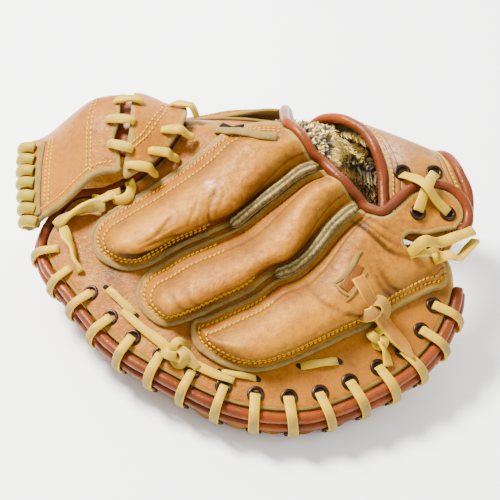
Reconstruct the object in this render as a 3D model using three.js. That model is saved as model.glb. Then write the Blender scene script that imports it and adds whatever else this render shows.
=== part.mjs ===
// A catcher's mitt that lies palm down, as it is put away on a table.
// Units are millimetres, +Z is up and the table is z = 0. The wrist is at +X, the fingertips and the
// web are at -X, the little-finger rim is towards -Y and the thumb half hangs down behind the ridge.
//
// The mitt is drawn flat and then folded. A flat place has three numbers: "along" runs from the
// fingertips to the wrist, "across" runs over the back from the little-finger rim (below 0) past
// the ridge (0) to the thumb rim (above 0), and "high" is the height above the hand side of the palm.
import * as THREE from "three";

// Driving sizes of the folded body
const HALF_LENGTH = 134; // along, from the middle to the fingertips
const FINGER_REACH = 188; // across, from the ridge to the little-finger rim
const THUMB_REACH = 106; // across, from the ridge to the thumb rim
const RIDGE_HEIGHT = 98;
const RIDGE_BEND = 32; // radius of the fold
const FINGER_SLOPE = THREE.MathUtils.degToRad(24);
const THUMB_SLOPE = THREE.MathUtils.degToRad(72);
const END_DROOP = 18; // how far the fingertips and the heel hang below the middle
const SKEW = 0.12; // the ridge runs back by this share towards the fingertips

// Thicknesses of the layers
const RIM_PADDING = 34;
const POCKET_PADDING = 13;
const PALM_BULGE = 6; // the palm leather swells out below the piping
const LEATHER = 2.4;
const CLEARANCE = 0.4; // between layers that are sewn or laced together
const SEAM_DIP = 2.5; // the padding's edge is pulled down where it is laced
const SEAM_WIDTH = 5;
const PIPING_RADIUS = 3.4;
const BACK_PIPING = { out: 2, high: 1.2 }; // two pipings, one over the other, outside the padding's edge
const PALM_PIPING = { out: 4.8, high: -6 };
const WELT_RADIUS = 3.6;
const LACE_WIDTH = 6;
const LACE_THICKNESS = 1.8;

// Finger stalls
const STALL_CROWN = 17; // height of a stall over its margin
const STALL_BREADTH = 22; // how far from the sewn line the crown is reached
const STALL_FLANGE = 5; // flat sewn margin round a stall
const MOUTH_LIFT = 9; // the stalls stand this much off the palm at the wrist
const MOUTH_REACH = 30;

// Wrist strap and web
const STRAP_THICKNESS = 3;
const FLEECE_THICKNESS = 4;
const STRAP_RISE = 11;
const WEB_RISE = 21;
const WEB_THICKNESS = 2.8;

// Spacing of the faces
const STEP_ALONG = 13;
const STEP_ACROSS = 11;
const STEP_ON_BEND = 5.5;

const BASE_LOW = 0.7; // the layers are bent apart a little over the ridge
const BASE_TOP = BASE_LOW + LEATHER;
const STALL_LOW = BASE_TOP + CLEARANCE;

// Colours and finishes
const finish = (color, roughness) => new THREE.MeshStandardMaterial({ color, roughness, metalness: 0 });
const TAN = finish(0xd08a4e, 0.55);
const PALE_TAN = finish(0xd79c63, 0.6);
const RUST = finish(0xb9653a, 0.5);
const RAWHIDE = finish(0xd8b860, 0.7);
const RAW_EDGE = finish(0xb9a98a, 0.85);
const FLEECE = finish(0xcfc3a4, 0.95);

// Turns rows of shares into named columns.
function table(columns, rows) {
  return rows.map((row) => Object.fromEntries(columns.map((name, i) => [name, row[i]])));
}

// Outlines in the flat, as shares of HALF_LENGTH along and of the reach of that half across.
const PALM_OUTLINE = table(["along", "across"], [
  [0.963, -0.484], [0.925, -0.58], [0.8, -0.734], [0.567, -0.872], [0.26, -0.979],
  [-0.06, -0.985], [-0.366, -0.904], [-0.634, -0.798], [-0.866, -0.617], [-0.978, -0.527],
  [-1.007, -0.441], [-0.933, -0.324], [-0.858, -0.271], [-0.716, -0.262], [-0.567, -0.207],
  [-0.47, -0.144], [-0.388, -0.064], [-0.336, 0.037], [-0.358, 0.139], [-0.448, 0.241],
  [-0.627, 0.296], [-0.8, 0.38], [-0.896, 0.519], [-0.873, 0.704], [-0.731, 0.87],
  [-0.448, 0.972], [-0.075, 1], [0.336, 0.99], [0.582, 0.944], [0.716, 0.861],
  [0.791, 0.731], [0.791, 0.583], [0.716, 0.463], [0.522, 0.352], [0.388, 0.13],
  [0.373, -0.074], [0.44, -0.202], [0.552, -0.303], [0.701, -0.346], [0.851, -0.34],
  [0.948, -0.383],
]);
const INDEX_SEWN = table(["along", "across"], [
  [0.15, -0.005], [-0.015, -0.005], [-0.134, -0.032], [-0.216, -0.085], [-0.343, -0.165],
  [-0.485, -0.245], [-0.627, -0.314], [-0.724, -0.367], [-0.76, -0.425], [-0.74, -0.484],
  [-0.687, -0.52], [-0.597, -0.543], [-0.507, -0.537], [-0.425, -0.505], [-0.328, -0.457],
  [-0.187, -0.404], [-0.06, -0.351], [0.06, -0.271], [0.142, -0.218], [0.239, -0.165],
  [0.328, -0.138],
]);
const INDEX_MOUTH = table(["along", "across"], [
  [0.328, -0.138], [0.284, -0.117], [0.231, -0.074], [0.179, -0.037], [0.15, -0.005],
]);
const MIDDLE_SEWN = table(["along", "across"], [
  [0.348, -0.154], [0.254, -0.184], [0.157, -0.237], [0.075, -0.29], [-0.045, -0.37],
  [-0.172, -0.423], [-0.313, -0.476], [-0.41, -0.524], [-0.478, -0.556], [-0.515, -0.601],
  [-0.515, -0.66], [-0.463, -0.707], [-0.396, -0.734], [-0.321, -0.723], [-0.254, -0.702],
  [-0.112, -0.644], [0, -0.596], [0.104, -0.532], [0.194, -0.5], [0.269, -0.447],
  [0.321, -0.399], [0.373, -0.351], [0.44, -0.303], [0.5, -0.266],
]);
const MIDDLE_MOUTH = table(["along", "across"], [
  [0.5, -0.266], [0.448, -0.234], [0.388, -0.191], [0.348, -0.154],
]);
const RING_SEWN = table(["along", "across"], [
  [0.518, -0.284], [0.455, -0.322], [0.388, -0.37], [0.336, -0.418], [0.284, -0.466],
  [0.209, -0.519], [0.119, -0.551], [0.015, -0.615], [-0.097, -0.663], [-0.2, -0.703],
  [-0.254, -0.718], [-0.261, -0.755], [-0.239, -0.798], [-0.179, -0.83], [-0.052, -0.862],
  [0.067, -0.856], [0.187, -0.819], [0.306, -0.771], [0.425, -0.718], [0.515, -0.681],
  [0.597, -0.638], [0.679, -0.59], [0.769, -0.548], [0.836, -0.516], [0.903, -0.495],
  [0.92, -0.47],
]);
const HEEL_SLIT = table(["along", "across"], [
  [0.92, -0.47], [0.905, -0.425], [0.836, -0.408], [0.754, -0.407], [0.705, -0.38],
  [0.735, -0.347], [0.821, -0.333], [0.896, -0.319], [0.963, -0.303],
]);
const HEEL_TAB = table(["along", "across"], [
  [0.963, -0.303], [1, -0.266], [1, -0.218], [0.955, -0.181], [0.888, -0.17],
  [0.836, -0.178], [0.776, -0.202], [0.716, -0.245], [0.657, -0.293], [0.612, -0.311],
  [0.567, -0.303], [0.518, -0.284],
]);
const THUMB_SEWN = table(["along", "across"], [
  [0.15, 0.26], [-0.12, 0.24], [-0.42, 0.33], [-0.66, 0.41], [-0.78, 0.5],
  [-0.8, 0.6], [-0.72, 0.7], [-0.52, 0.78], [-0.2, 0.81], [0.11, 0.77],
]);
const THUMB_MOUTH = table(["along", "across"], [
  [0.11, 0.77], [0.16, 0.62], [0.18, 0.42], [0.15, 0.26],
]);
const WEB_OUTLINE = table(["along", "across"], [
  [-1.085, -0.4], [-1.02, -0.365], [-0.9, -0.312], [-0.828, -0.266], [-0.75, -0.222],
  [-0.672, -0.208], [-0.63, -0.208], [-0.628, -0.16], [-0.66, -0.1], [-0.64, -0.04],
  [-0.645, 0.06], [-0.64, 0.2], [-0.65, 0.33], [-0.76, 0.38], [-0.9, 0.5],
  [-1.02, 0.56], [-1.11, 0.46], [-1.15, 0.2], [-1.16, -0.03], [-1.15, -0.16],
  [-1.125, -0.28],
]);
const TONGUE_OUTLINE = table(["along", "across"], [
  [-0.6, -0.235], [-0.53, -0.205], [-0.455, -0.155], [-0.375, -0.075], [-0.315, 0.03],
  [-0.34, 0.17], [-0.44, 0.27], [-0.58, 0.3], [-0.585, 0.1], [-0.58, -0.04],
  [-0.59, -0.12],
]);

// Openings of the base leather under the stalls: round-ended slots from one middle to the other.
const FINGER_SLOTS = table(["from_along", "from_across", "to_along", "to_across", "radius"], [
  [-0.58, -0.44, 0.1, -0.15, 0.09], [-0.35, -0.63, 0.27, -0.32, 0.08], [-0.08, -0.76, 0.5, -0.5, 0.09],
]);
const THUMB_SLOTS = table(["from_along", "from_across", "to_along", "to_across", "radius"], [
  [-0.55, 0.56, 0.02, 0.52, 0.12],
]);

// Shares of STALL_CROWN and STALL_BREADTH, and how much of the crown is left at the wrist.
const STALLS = table(["name", "crown", "breadth", "heel"], [
  ["index", 1, 1, 1], ["middle", 1, 0.91, 1], ["ring", 0.82, 1, 0.45], ["thumb", 0.82, 1.09, 1],
]);

// The wrist strap from under the heel tab, over the wrist, to the thumb heel.
// Near is the edge by the fingers, far is the edge by the arm, and "rise" is a share of STRAP_RISE.
const STRAP_SECTIONS = table(
  ["near_along", "near_across", "near_rise", "far_along", "far_across", "far_rise"], [
    [0.672, -0.335, 0, 0.94, -0.368, 0],
    [0.664, -0.266, 0.08, 0.993, -0.287, 0.2],
    [0.664, -0.181, 0.16, 1.022, -0.213, 0.45],
    [0.664, -0.117, 0.25, 1.022, -0.149, 0.65],
    [0.642, -0.048, 0.4, 0.993, -0.074, 0.5],
    [0.582, 0.083, 0.6, 0.97, 0.037, 0.15],
    [0.47, 0.204, 0.75, 0.94, 0.204, 0.1],
    [0.358, 0.352, 0.6, 0.896, 0.389, 0.18],
    [0.29, 0.509, 0.06, 0.81, 0.611, 0.06],
    [0.27, 0.667, 0, 0.7, 0.76, 0],
  ]);

// Across the rim, from the back eyelet over both pipings to the palm eyelet, as shares of PIPING_RADIUS.
// "out" is measured outwards from the padding's edge, and "high" from the hand side of the palm.
const LACE_OVER_RIM = table(["out", "high"], [
  [-3.1, 1.3], [-1.9, 1.36], [-0.74, 1.83], [0.65, 2.03], [1.88, 1.27],
  [2.62, -0.18], [2.88, -1.76], [2.65, -3.23], [1.91, -4.41],
]);
// Round the end of the web, measured from its edge and from its underside, as shares of WEB_THICKNESS.
const LACE_OVER_WEB = table(["out", "high"], [
  [-3.2, 1.79], [-1.07, 1.93], [0.5, 1.64], [1, 0.5], [0.5, -0.64], [-1.07, -0.79], [-2.86, -0.68],
]);
const WEB_LOOP_WIDTH = 7;
const WEB_LOOPS = { count: 5, first: -0.33, last: -0.12 };
const WEB_LACES = table(["from_along", "from_across", "to_along", "to_across"], [
  [-0.67, 0.03, -0.53, 0.03], [-0.7, -0.043, -0.56, -0.048], [-0.685, -0.12, -0.565, -0.14],
]);
const CROTCH_LACES = table(["from_along", "from_across", "to_along", "to_across"], [
  [-0.4, 0.12, -0.25, 0.06], [-0.43, -0.053, -0.26, -0.05], [-0.485, -0.135, -0.35, -0.132],
  [-0.59, -0.197, -0.45, -0.2],
]);
const INDEX_WELT = table(["along", "across"], [
  [-0.09, -0.38], [0.06, -0.281], [0.15, -0.228], [0.245, -0.174], [0.315, -0.152],
]);
const MIDDLE_WELT = table(["along", "across"], [
  [0.115, -0.54], [0.2, -0.508], [0.277, -0.456], [0.33, -0.408], [0.38, -0.36], [0.448, -0.312], [0.495, -0.285],
]);
const BACK_LACE = table(["along", "across"], [
  [-0.59, -0.69], [-0.5, -0.745], [-0.41, -0.79], [-0.33, -0.835], [-0.25, -0.858], [-0.16, -0.883], [-0.07, -0.9],
]);
// The finger thong lies over the little-finger stall and ends in a leaf-shaped tail.
const THONG_WIDTH = 10;
const THONG_THICKNESS = 2.6;
const THONG = table(["along", "across"], [
  [0.485, -0.54], [0.515, -0.58], [0.55, -0.617], [0.595, -0.654], [0.645, -0.692], [0.69, -0.723],
]);
const thongShape = (t) => 1 - 0.45 * Math.exp(-(((t - 0.42) / 0.12) ** 2)) - 0.85 * smooth(t, 0.78, 1);
// Crossed laces between the strap and the heel tab, then their loose tails out of the slit.
// "over" is the height above the back's leather, or above where it would be beyond its edge.
const STRAP_LACES = [
  table(["along", "across", "over"], [
    [0.89, -0.1, 10.2], [0.85, -0.155, 21.4], [0.81, -0.22, 3.8], [0.785, -0.27, 1.5],
  ]),
  table(["along", "across", "over"], [
    [0.73, -0.12, 8], [0.79, -0.165, 21], [0.83, -0.2, 9.6], [0.87, -0.225, 5], [0.93, -0.255, 1.5],
  ]),
];
const STRAP_TAILS = [
  table(["along", "across", "over"], [
    [0.735, -0.422, 1.3], [0.79, -0.4, 14.5], [0.88, -0.37, 16.5], [0.96, -0.345, 20], [1.04, -0.312, 19.5],
  ]),
  table(["along", "across", "over"], [
    [0.85, -0.425, 1.3], [0.92, -0.422, 12.5], [0.965, -0.412, 14.5], [1.01, -0.375, 16], [1.055, -0.335, 15],
  ]),
];
// The pipings and the rim's laces run from one heel round the fingertips to the other.
const LITTLE_FINGER_HEEL = { along: 0.963, across: -0.484 };
const THUMB_HEEL = { along: 0.791, across: 0.7 };
// Places of the lace loops round the rim, as shares of the piping's length from the little-finger heel.
const FINGER_LOOPS = { count: 16, first: 0.023, last: 0.405 };
const THUMB_LOOPS = { count: 7, first: 0.69, last: 0.97 };

const smooth = (value, from, to) => THREE.MathUtils.smoothstep(value, from, to);

// Folds a flat place into space.
function fold(along, across, high) {
  const toFinger = -RIDGE_BEND * FINGER_SLOPE;
  const toThumb = RIDGE_BEND * THUMB_SLOPE;
  const onBend = THREE.MathUtils.clamp(across, toFinger, toThumb);
  const past = across - onBend;
  const angle = onBend / RIDGE_BEND;
  const lift = high - END_DROOP * (along / HALF_LENGTH) ** 2;
  const radius = RIDGE_BEND + lift;
  const y = radius * Math.sin(angle) + past * Math.cos(angle) - SKEW * along;
  const z = RIDGE_HEIGHT - RIDGE_BEND + radius * Math.cos(angle) - past * Math.sin(angle);
  return new THREE.Vector3(along, y, z);
}

// Moves a flat place sideways by a real distance, which the fold squeezes or stretches on the bend.
function beside(place, away, out, high) {
  const onBend = place.y > -RIDGE_BEND * FINGER_SLOPE && place.y < RIDGE_BEND * THUMB_SLOPE;
  const lift = high - END_DROOP * (place.x / HALF_LENGTH) ** 2;
  const stretch = onBend ? RIDGE_BEND / (RIDGE_BEND + lift) : 1;
  return new THREE.Vector2(place.x + away.x * out, place.y + away.y * out * stretch);
}

const flat = (row) => new THREE.Vector2(
  row.along * HALF_LENGTH,
  row.across * (row.across < 0 ? FINGER_REACH : THUMB_REACH),
);

// Points spaced evenly along a smooth curve through a table's rows.
function curve(rows, spacing, closed = false) {
  const knots = rows.map(flat).map((p) => new THREE.Vector3(p.x, p.y, 0));
  const path = new THREE.CatmullRomCurve3(knots, closed, "centripetal");
  const count = Math.max(2, Math.round(path.getLength() / spacing));
  const points = path.getSpacedPoints(count).map((p) => new THREE.Vector2(p.x, p.y));
  if (closed) points.pop();
  return points;
}

// Joins open curves end to end into one closed outline.
const joined = (...curves) => curves.flatMap((points) => points.slice(0, -1));

function slotOutline(row) {
  const start = flat({ along: row.from_along, across: row.from_across });
  const end = flat({ along: row.to_along, across: row.to_across });
  const radius = row.radius * HALF_LENGTH;
  const turn = end.clone().sub(start).angle();
  const ends = [[start, Math.PI / 2], [end, -Math.PI / 2]];
  const steps = 5;
  return ends.flatMap(([middle, from]) => Array.from({ length: steps + 1 }, (_, i) => {
    const angle = turn + from + (Math.PI * i) / steps;
    return new THREE.Vector2(Math.cos(angle), Math.sin(angle)).multiplyScalar(radius).add(middle);
  }));
}

function distanceTo(points, x, y) {
  let best = Infinity;
  for (let i = 0; i + 1 < points.length; i++) {
    const a = points[i];
    const b = points[i + 1];
    const dx = b.x - a.x;
    const dy = b.y - a.y;
    const t = THREE.MathUtils.clamp(((x - a.x) * dx + (y - a.y) * dy) / (dx * dx + dy * dy), 0, 1);
    best = Math.min(best, Math.hypot(x - a.x - t * dx, y - a.y - t * dy));
  }
  return best;
}

const closedLoop = (points) => [...points, points[0]];

function inside(points, x, y) {
  let within = false;
  points.forEach((a, i) => {
    const b = points[(i + 1) % points.length];
    const crosses = (a.y > y) !== (b.y > y);
    if (crosses && x < a.x + ((y - a.y) / (b.y - a.y)) * (b.x - a.x)) within = !within;
  });
  return within;
}

// The outline turned so that it runs anticlockwise, or clockwise for a hole.
function wound(points, anticlockwise) {
  return THREE.ShapeUtils.area(points) > 0 === anticlockwise ? points : [...points].reverse();
}

// Unit vectors that point away from the material on each point of a wound outline.
function sideways(points) {
  return points.map((_, i) => {
    const before = points[(i + points.length - 1) % points.length];
    const after = points[(i + 1) % points.length];
    const run = after.clone().sub(before).normalize();
    return new THREE.Vector2(run.y, -run.x);
  });
}

function offset(points, distance) {
  const normals = sideways(points);
  return points.map((p, i) => p.clone().addScaledVector(normals[i], distance));
}

// Keeps the part of an outline on one side of a line of constant "across".
function clipped(points, limit, below) {
  const keeps = (p) => (below ? p.y <= limit : p.y >= limit);
  return points.flatMap((a, i) => {
    const b = points[(i + 1) % points.length];
    const out = keeps(a) ? [a] : [];
    if (keeps(a) !== keeps(b)) out.push(a.clone().lerp(b, (limit - a.y) / (b.y - a.y)));
    return out;
  });
}

// The same closed outline with no long and no tiny edges.
function evened(points, spacing = 8.8) {
  const kept = points.filter((p, i) => p.distanceTo(points[(i + points.length - 1) % points.length]) > spacing / 7);
  return kept.flatMap((a, i) => {
    const b = kept[(i + 1) % kept.length];
    const parts = Math.max(1, Math.round(a.distanceTo(b) / spacing));
    return Array.from({ length: parts }, (_, k) => a.clone().lerp(b, k / parts));
  });
}

// Delaunay triangles of a set of points, by adding one point at a time.
function delaunay(points) {
  const far = 5000;
  const outer = [[-far, -far], [far, -far], [0, far]].map(([x, y]) => new THREE.Vector2(x, y));
  const all = [...points, ...outer];
  const circle = (a, b, c) => {
    const [p, q, r] = [all[a], all[b], all[c]];
    const twice = 2 * (p.x * (q.y - r.y) + q.x * (r.y - p.y) + r.x * (p.y - q.y));
    const [pp, qq, rr] = [p.lengthSq(), q.lengthSq(), r.lengthSq()];
    const x = (pp * (q.y - r.y) + qq * (r.y - p.y) + rr * (p.y - q.y)) / twice;
    const y = (pp * (r.x - q.x) + qq * (p.x - r.x) + rr * (q.x - p.x)) / twice;
    return { corners: [a, b, c], x, y, reach: (p.x - x) ** 2 + (p.y - y) ** 2 };
  };
  let triangles = [circle(points.length, points.length + 1, points.length + 2)];
  points.forEach((p, index) => {
    const open = new Map();
    triangles = triangles.filter((t) => {
      if ((p.x - t.x) ** 2 + (p.y - t.y) ** 2 > t.reach) return true;
      t.corners.forEach((a, k) => {
        const b = t.corners[(k + 1) % 3];
        const twin = `${b} ${a}`;
        if (open.has(twin)) open.delete(twin);
        else open.set(`${a} ${b}`, [a, b]);
      });
      return false;
    });
    open.forEach(([a, b]) => triangles.push(circle(a, b, index)));
  });
  return triangles.map((t) => t.corners).filter((t) => t.every((k) => k < points.length));
}

// Heights across at which every layer has its points, closer together on the bend.
function rows() {
  const list = [];
  let across = -FINGER_REACH;
  while (across < THUMB_REACH) {
    list.push(across);
    const fromFinger = -RIDGE_BEND * FINGER_SLOPE - STEP_ACROSS;
    const toThumb = RIDGE_BEND * THUMB_SLOPE + STEP_ON_BEND;
    const bending = across > fromFinger && across < toThumb;
    across += bending ? STEP_ON_BEND : STEP_ACROSS;
  }
  return list;
}

// A flat outline with holes, filled with triangles.
function region(outline, holes = []) {
  const loops = [wound(evened(outline), true), ...holes.map((hole) => wound(evened(hole), false))];
  const points = loops.flat();
  const closed = loops.map(closedLoop);
  const solid = (x, y) => inside(loops[0], x, y) && !loops.slice(1).some((hole) => inside(hole, x, y));
  rows().forEach((y, i) => {
    for (let x = -1.3 * HALF_LENGTH; x < 1.3 * HALF_LENGTH; x += STEP_ALONG) {
      const shifted = x + (i % 2 ? STEP_ALONG / 2 : 0);
      const room = Math.min(...closed.map((loop) => distanceTo(loop, shifted, y)));
      if (solid(shifted, y) && room > STEP_ON_BEND) points.push(new THREE.Vector2(shifted, y));
    }
  });
  const triangles = delaunay(points).filter((t) => {
    const [a, b, c] = t.map((k) => points[k]);
    return solid((a.x + b.x + c.x) / 3, (a.y + b.y + c.y) / 3);
  });
  return { points, triangles, loops };
}

// A layer of leather or padding between two height functions of a flat region.
// "wall" adds rows of points down the edge, each with how far out and how high it is.
function layer(area, top, bottom, wall = []) {
  const { points, triangles, loops } = area;
  const places = [];
  const put = (x, y, high) => places.push(fold(x, y, high)) - 1;
  const above = points.map((p) => put(p.x, p.y, top(p.x, p.y)));
  const below = points.map((p) => put(p.x, p.y, bottom(p.x, p.y)));
  const index = triangles.flatMap(([a, b, c]) => [above[a], above[b], above[c], below[a], below[c], below[b]]);
  let start = 0;
  loops.forEach((loop) => {
    const normals = sideways(loop);
    const rings = [loop.map((_, i) => above[start + i])];
    wall.forEach((row) => {
      const moved = loop.map((p, i) => p.clone().addScaledVector(normals[i], row.out(p.y)));
      rings.push(moved.map((p, i) => put(p.x, p.y, row.high(loop[i].y))));
    });
    rings.push(loop.map((_, i) => below[start + i]));
    rings.slice(1).forEach((lower, r) => loop.forEach((_, i) => {
      const j = (i + 1) % loop.length;
      const upper = rings[r];
      index.push(upper[i], lower[i], lower[j], upper[i], lower[j], upper[j]);
    }));
    start += loop.length;
  });
  return solidFrom(places, index);
}

function solidFrom(places, index) {
  const geometry = new THREE.BufferGeometry();
  geometry.setAttribute("position", new THREE.Float32BufferAttribute(places.flatMap((p) => p.toArray()), 3));
  geometry.setIndex(index);
  return geometry;
}

const roundSection = (sides) => Array.from({ length: sides }, (_, i) => {
  const angle = (2 * Math.PI * i) / sides;
  return [Math.cos(angle), Math.sin(angle)];
});
const FLAT_SECTION = [[1, -1], [1, 1], [-1, 1], [-1, -1]];

// Sweeps a section along stations. Each station has a middle, a sideways vector and half sizes.
function sweep(stations, section) {
  const places = [];
  stations.forEach((station, i) => {
    const before = stations[Math.max(0, i - 1)].middle;
    const after = stations[Math.min(stations.length - 1, i + 1)].middle;
    const run = after.clone().sub(before).normalize();
    const side = station.side.clone().addScaledVector(run, -station.side.dot(run)).normalize();
    const up = run.clone().cross(side).negate();
    section.forEach(([a, b]) => places.push(
      station.middle.clone().addScaledVector(side, a * station.wide).addScaledVector(up, b * station.thick),
    ));
  });
  const n = section.length;
  const index = [];
  for (let i = 0; i + 1 < stations.length; i++) {
    for (let k = 0; k < n; k++) {
      const [a, b] = [i * n + k, i * n + ((k + 1) % n)];
      index.push(a, b, b + n, a, b + n, a + n);
    }
  }
  const last = (stations.length - 1) * n;
  for (let k = 1; k + 1 < n; k++) index.push(0, k + 1, k, last, last + k, last + k + 1);
  const made = solidFrom(places, index);
  return signedVolume(made) < 0 ? flipped(made) : made;
}

function signedVolume(geometry) {
  const { position } = geometry.attributes;
  const corner = (k) => new THREE.Vector3().fromBufferAttribute(position, geometry.index.getX(k));
  let total = 0;
  for (let k = 0; k < geometry.index.count; k += 3) {
    total += corner(k).dot(corner(k + 1).cross(corner(k + 2))) / 6;
  }
  return total;
}

function flipped(geometry) {
  const index = [...geometry.index.array];
  for (let k = 0; k < index.length; k += 3) [index[k + 1], index[k + 2]] = [index[k + 2], index[k + 1]];
  geometry.setIndex(index);
  return geometry;
}

// A round cord that follows flat places, each with its own height.
function cord(points, radius, sides) {
  const middles = points.map((p) => fold(p.x, p.y, p.z));
  let side = new THREE.Vector3(0, 0, 1);
  const stations = middles.map((middle, i) => {
    const run = middles[Math.min(middles.length - 1, i + 1)].clone().sub(middles[Math.max(0, i - 1)]).normalize();
    side = side.clone().addScaledVector(run, -side.dot(run)).normalize();
    return { middle, side, wide: radius, thick: radius };
  });
  return sweep(stations, roundSection(sides));
}

// A flat lace along flat places, each with its own height.
// "shape" gives the width as a share of the lace's, from 0 at the start to 1 at the end.
function strip(points, width, thickness, shape = () => 1) {
  const last = points.length - 1;
  const stations = points.map((p, i) => {
    const run = points[Math.min(last, i + 1)].clone().sub(points[Math.max(0, i - 1)]).setZ(0).normalize();
    const aside = fold(p.x - run.y, p.y + run.x, p.z).sub(fold(p.x + run.y, p.y - run.x, p.z));
    return { middle: fold(p.x, p.y, p.z), side: aside, wide: (width / 2) * shape(i / last), thick: thickness / 2 };
  });
  return sweep(stations, FLAT_SECTION);
}

// Places along a curve through a table's rows, each lifted clear of the surface under it.
function draped(rows, spacing, top, clear) {
  const points = curve(rows, spacing);
  const heights = points.map((p) => top(p.x, p.y) + clear);
  return points.map((p, i) => {
    const around = heights.slice(Math.max(0, i - 1), i + 2);
    const even = around.reduce((sum, high) => sum + high, 0) / around.length;
    return new THREE.Vector3(p.x, p.y, Math.max(heights[i], even));
  });
}

// Outlines used by more than one piece
const palmEdge = wound(curve(PALM_OUTLINE, 10, true), true);
const SEAM_ON_RIDGE = 6; // across, where the two back leathers meet
const BACK_INSET = 2.6;

const webOutline = wound(curve(WEB_OUTLINE, 9, true), true);
const tongueOutline = wound(curve(TONGUE_OUTLINE, 8, true), true);
const outlines = {
  index: { sewn: curve(INDEX_SEWN, 8), open: curve(INDEX_MOUTH, 7) },
  middle: { sewn: curve(MIDDLE_SEWN, 8), open: curve(MIDDLE_MOUTH, 7) },
  ring: { sewn: curve(RING_SEWN, 8), slit: curve(HEEL_SLIT, 6), open: curve(HEEL_TAB, 7) },
  thumb: { sewn: curve(THUMB_SEWN, 8), open: curve(THUMB_MOUTH, 8) },
};

const stalls = STALLS.map((row) => {
  const { sewn, slit, open } = outlines[row.name];
  const outline = joined(...[sewn, slit, open].filter(Boolean));
  const under = (x, y) => {
    const breadth = row.breadth * STALL_BREADTH;
    const inward = (distanceTo(sewn, x, y) - STALL_FLANGE) / (breadth - STALL_FLANGE);
    const round = (1 - (1 - THREE.MathUtils.clamp(inward, 0, 1)) ** 2.2) ** 0.8;
    const near = Math.exp(-((distanceTo(open, x, y) / MOUTH_REACH) ** 2));
    const crown = row.crown * STALL_CROWN * (1 - (1 - row.heel) * smooth(x / HALF_LENGTH, 0.42, 0.78));
    return STALL_LOW + MOUTH_LIFT * near + crown * round * (1 - 0.45 * near);
  };
  return { name: row.name, outline, under, sewn, open };
});

// Height of the highest leather within "reach" of a flat place.
function topOfBack(x, y, reach = 0) {
  let top = BASE_TOP;
  const ring = reach ? [0, 1, 2, 3, 4, 5, 6, 7].map((k) => (k * Math.PI) / 4) : [];
  const spots = [[x, y], ...ring.map((a) => [x + reach * Math.cos(a), y + reach * Math.sin(a)])];
  stalls.forEach((stall) => spots.forEach(([px, py]) => {
    if (inside(stall.outline, px, py)) top = Math.max(top, stall.under(px, py) + LEATHER);
  }));
  return top;
}

const webHigh = (x, y) => {
  const t = THREE.MathUtils.clamp((-0.36 * HALF_LENGTH - x) / (0.78 * HALF_LENGTH), 0, 1);
  const bell = Math.exp(-(((y - 8) / 52) ** 2));
  const hump = 0.5 + 0.5 * smooth(t, 0, 0.3) - 1.15 * smooth(t, 0.5, 1) * (0.35 + 0.65 * bell);
  return WEB_RISE * hump * (0.55 + 0.45 * bell);
};

const group = new THREE.Group();
function add(name, geometry, material) {
  const mesh = new THREE.Mesh(geometry, material);
  mesh.name = name;
  group.add(mesh);
}

// Padding and palm leather, thin in the pocket and thick at both rims, flat where it rests.
function palmPad() {
  const edge = closedLoop(palmEdge);
  const padding = (y) => {
    const share = Math.abs(y) / (y < 0 ? FINGER_REACH : THUMB_REACH);
    return POCKET_PADDING + (RIM_PADDING - POCKET_PADDING) * smooth(share, 0.4, 0.8);
  };
  const top = (x, y) => {
    const near = 1 - Math.min(1, distanceTo(edge, x, y) / SEAM_WIDTH);
    return -SEAM_DIP * near * near;
  };
  const bottom = (x, y) => {
    const near = 1 - Math.min(1, distanceTo(edge, x, y) / (2 * SEAM_WIDTH));
    return -padding(y) * (1 - 0.12 * near * near);
  };
  const swell = (y) => (PALM_BULGE * (padding(y) - POCKET_PADDING)) / (RIM_PADDING - POCKET_PADDING);
  const wall = [
    { out: () => 0, high: (y) => -SEAM_DIP - 0.24 * padding(y) },
    { out: (y) => 0.8 * swell(y), high: (y) => -0.56 * padding(y) },
    { out: swell, high: (y) => -0.74 * padding(y) },
  ];
  const made = layer(region(palmEdge), top, bottom, wall);
  const { position } = made.attributes;
  for (let i = 0; i < position.count; i++) position.setZ(i, Math.max(0, position.getZ(i)));
  return made;
}

// Base leather of one half of the back, open under its stalls.
function backLeather(below, slots) {
  const inset = offset(palmEdge, -BACK_INSET);
  const limit = SEAM_ON_RIDGE + (below ? -CLEARANCE / 2 : CLEARANCE / 2);
  const half = clipped(inset, limit, below);
  return layer(region(half, slots.map(slotOutline)), () => BASE_TOP, () => BASE_LOW);
}

function stallShell(stall) {
  return layer(region(stall.outline), (x, y) => stall.under(x, y) + LEATHER, stall.under);
}

// A line that stays at one distance outside the rim, from the little-finger heel to the thumb heel.
function rimLine({ out, high }) {
  const normals = sideways(palmEdge);
  const moved = palmEdge.map((p, i) => beside(p, normals[i], out, high));
  const count = moved.length;
  const from = nearest(moved, flat(LITTLE_FINGER_HEEL));
  const to = nearest(moved, flat(THUMB_HEEL));
  const length = ((from - to + count) % count) + 1;
  const kept = Array.from({ length }, (_, i) => moved[(from - i + count) % count]);
  return kept.map((p) => new THREE.Vector3(p.x, p.y, high));
}

function nearest(points, place) {
  const distances = points.map((p) => p.distanceTo(place));
  return distances.indexOf(Math.min(...distances));
}

// A lace loop over the rim at a share of the way round.
function rimLoop(share) {
  const line = rimLine({ out: 0, high: 0 });
  const path = new THREE.CatmullRomCurve3(line, false, "centripetal");
  const middle = path.getPointAt(share);
  const run = path.getTangentAt(share);
  const away = new THREE.Vector2(run.y, -run.x);
  const centre = new THREE.Vector2(middle.x, middle.y);
  if (inside(palmEdge, centre.x + away.x * 3, centre.y + away.y * 3)) away.negate();
  const stations = LACE_OVER_RIM.map((row) => {
    const high = row.high * PIPING_RADIUS;
    const p = beside(centre, away, row.out * PIPING_RADIUS, high);
    const ahead = fold(p.x + run.x, p.y + run.y, high);
    const place = fold(p.x, p.y, high);
    return { middle: place, side: ahead.sub(place), wide: LACE_WIDTH / 2, thick: LACE_THICKNESS / 2 };
  });
  return sweep(stations, FLAT_SECTION);
}

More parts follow.
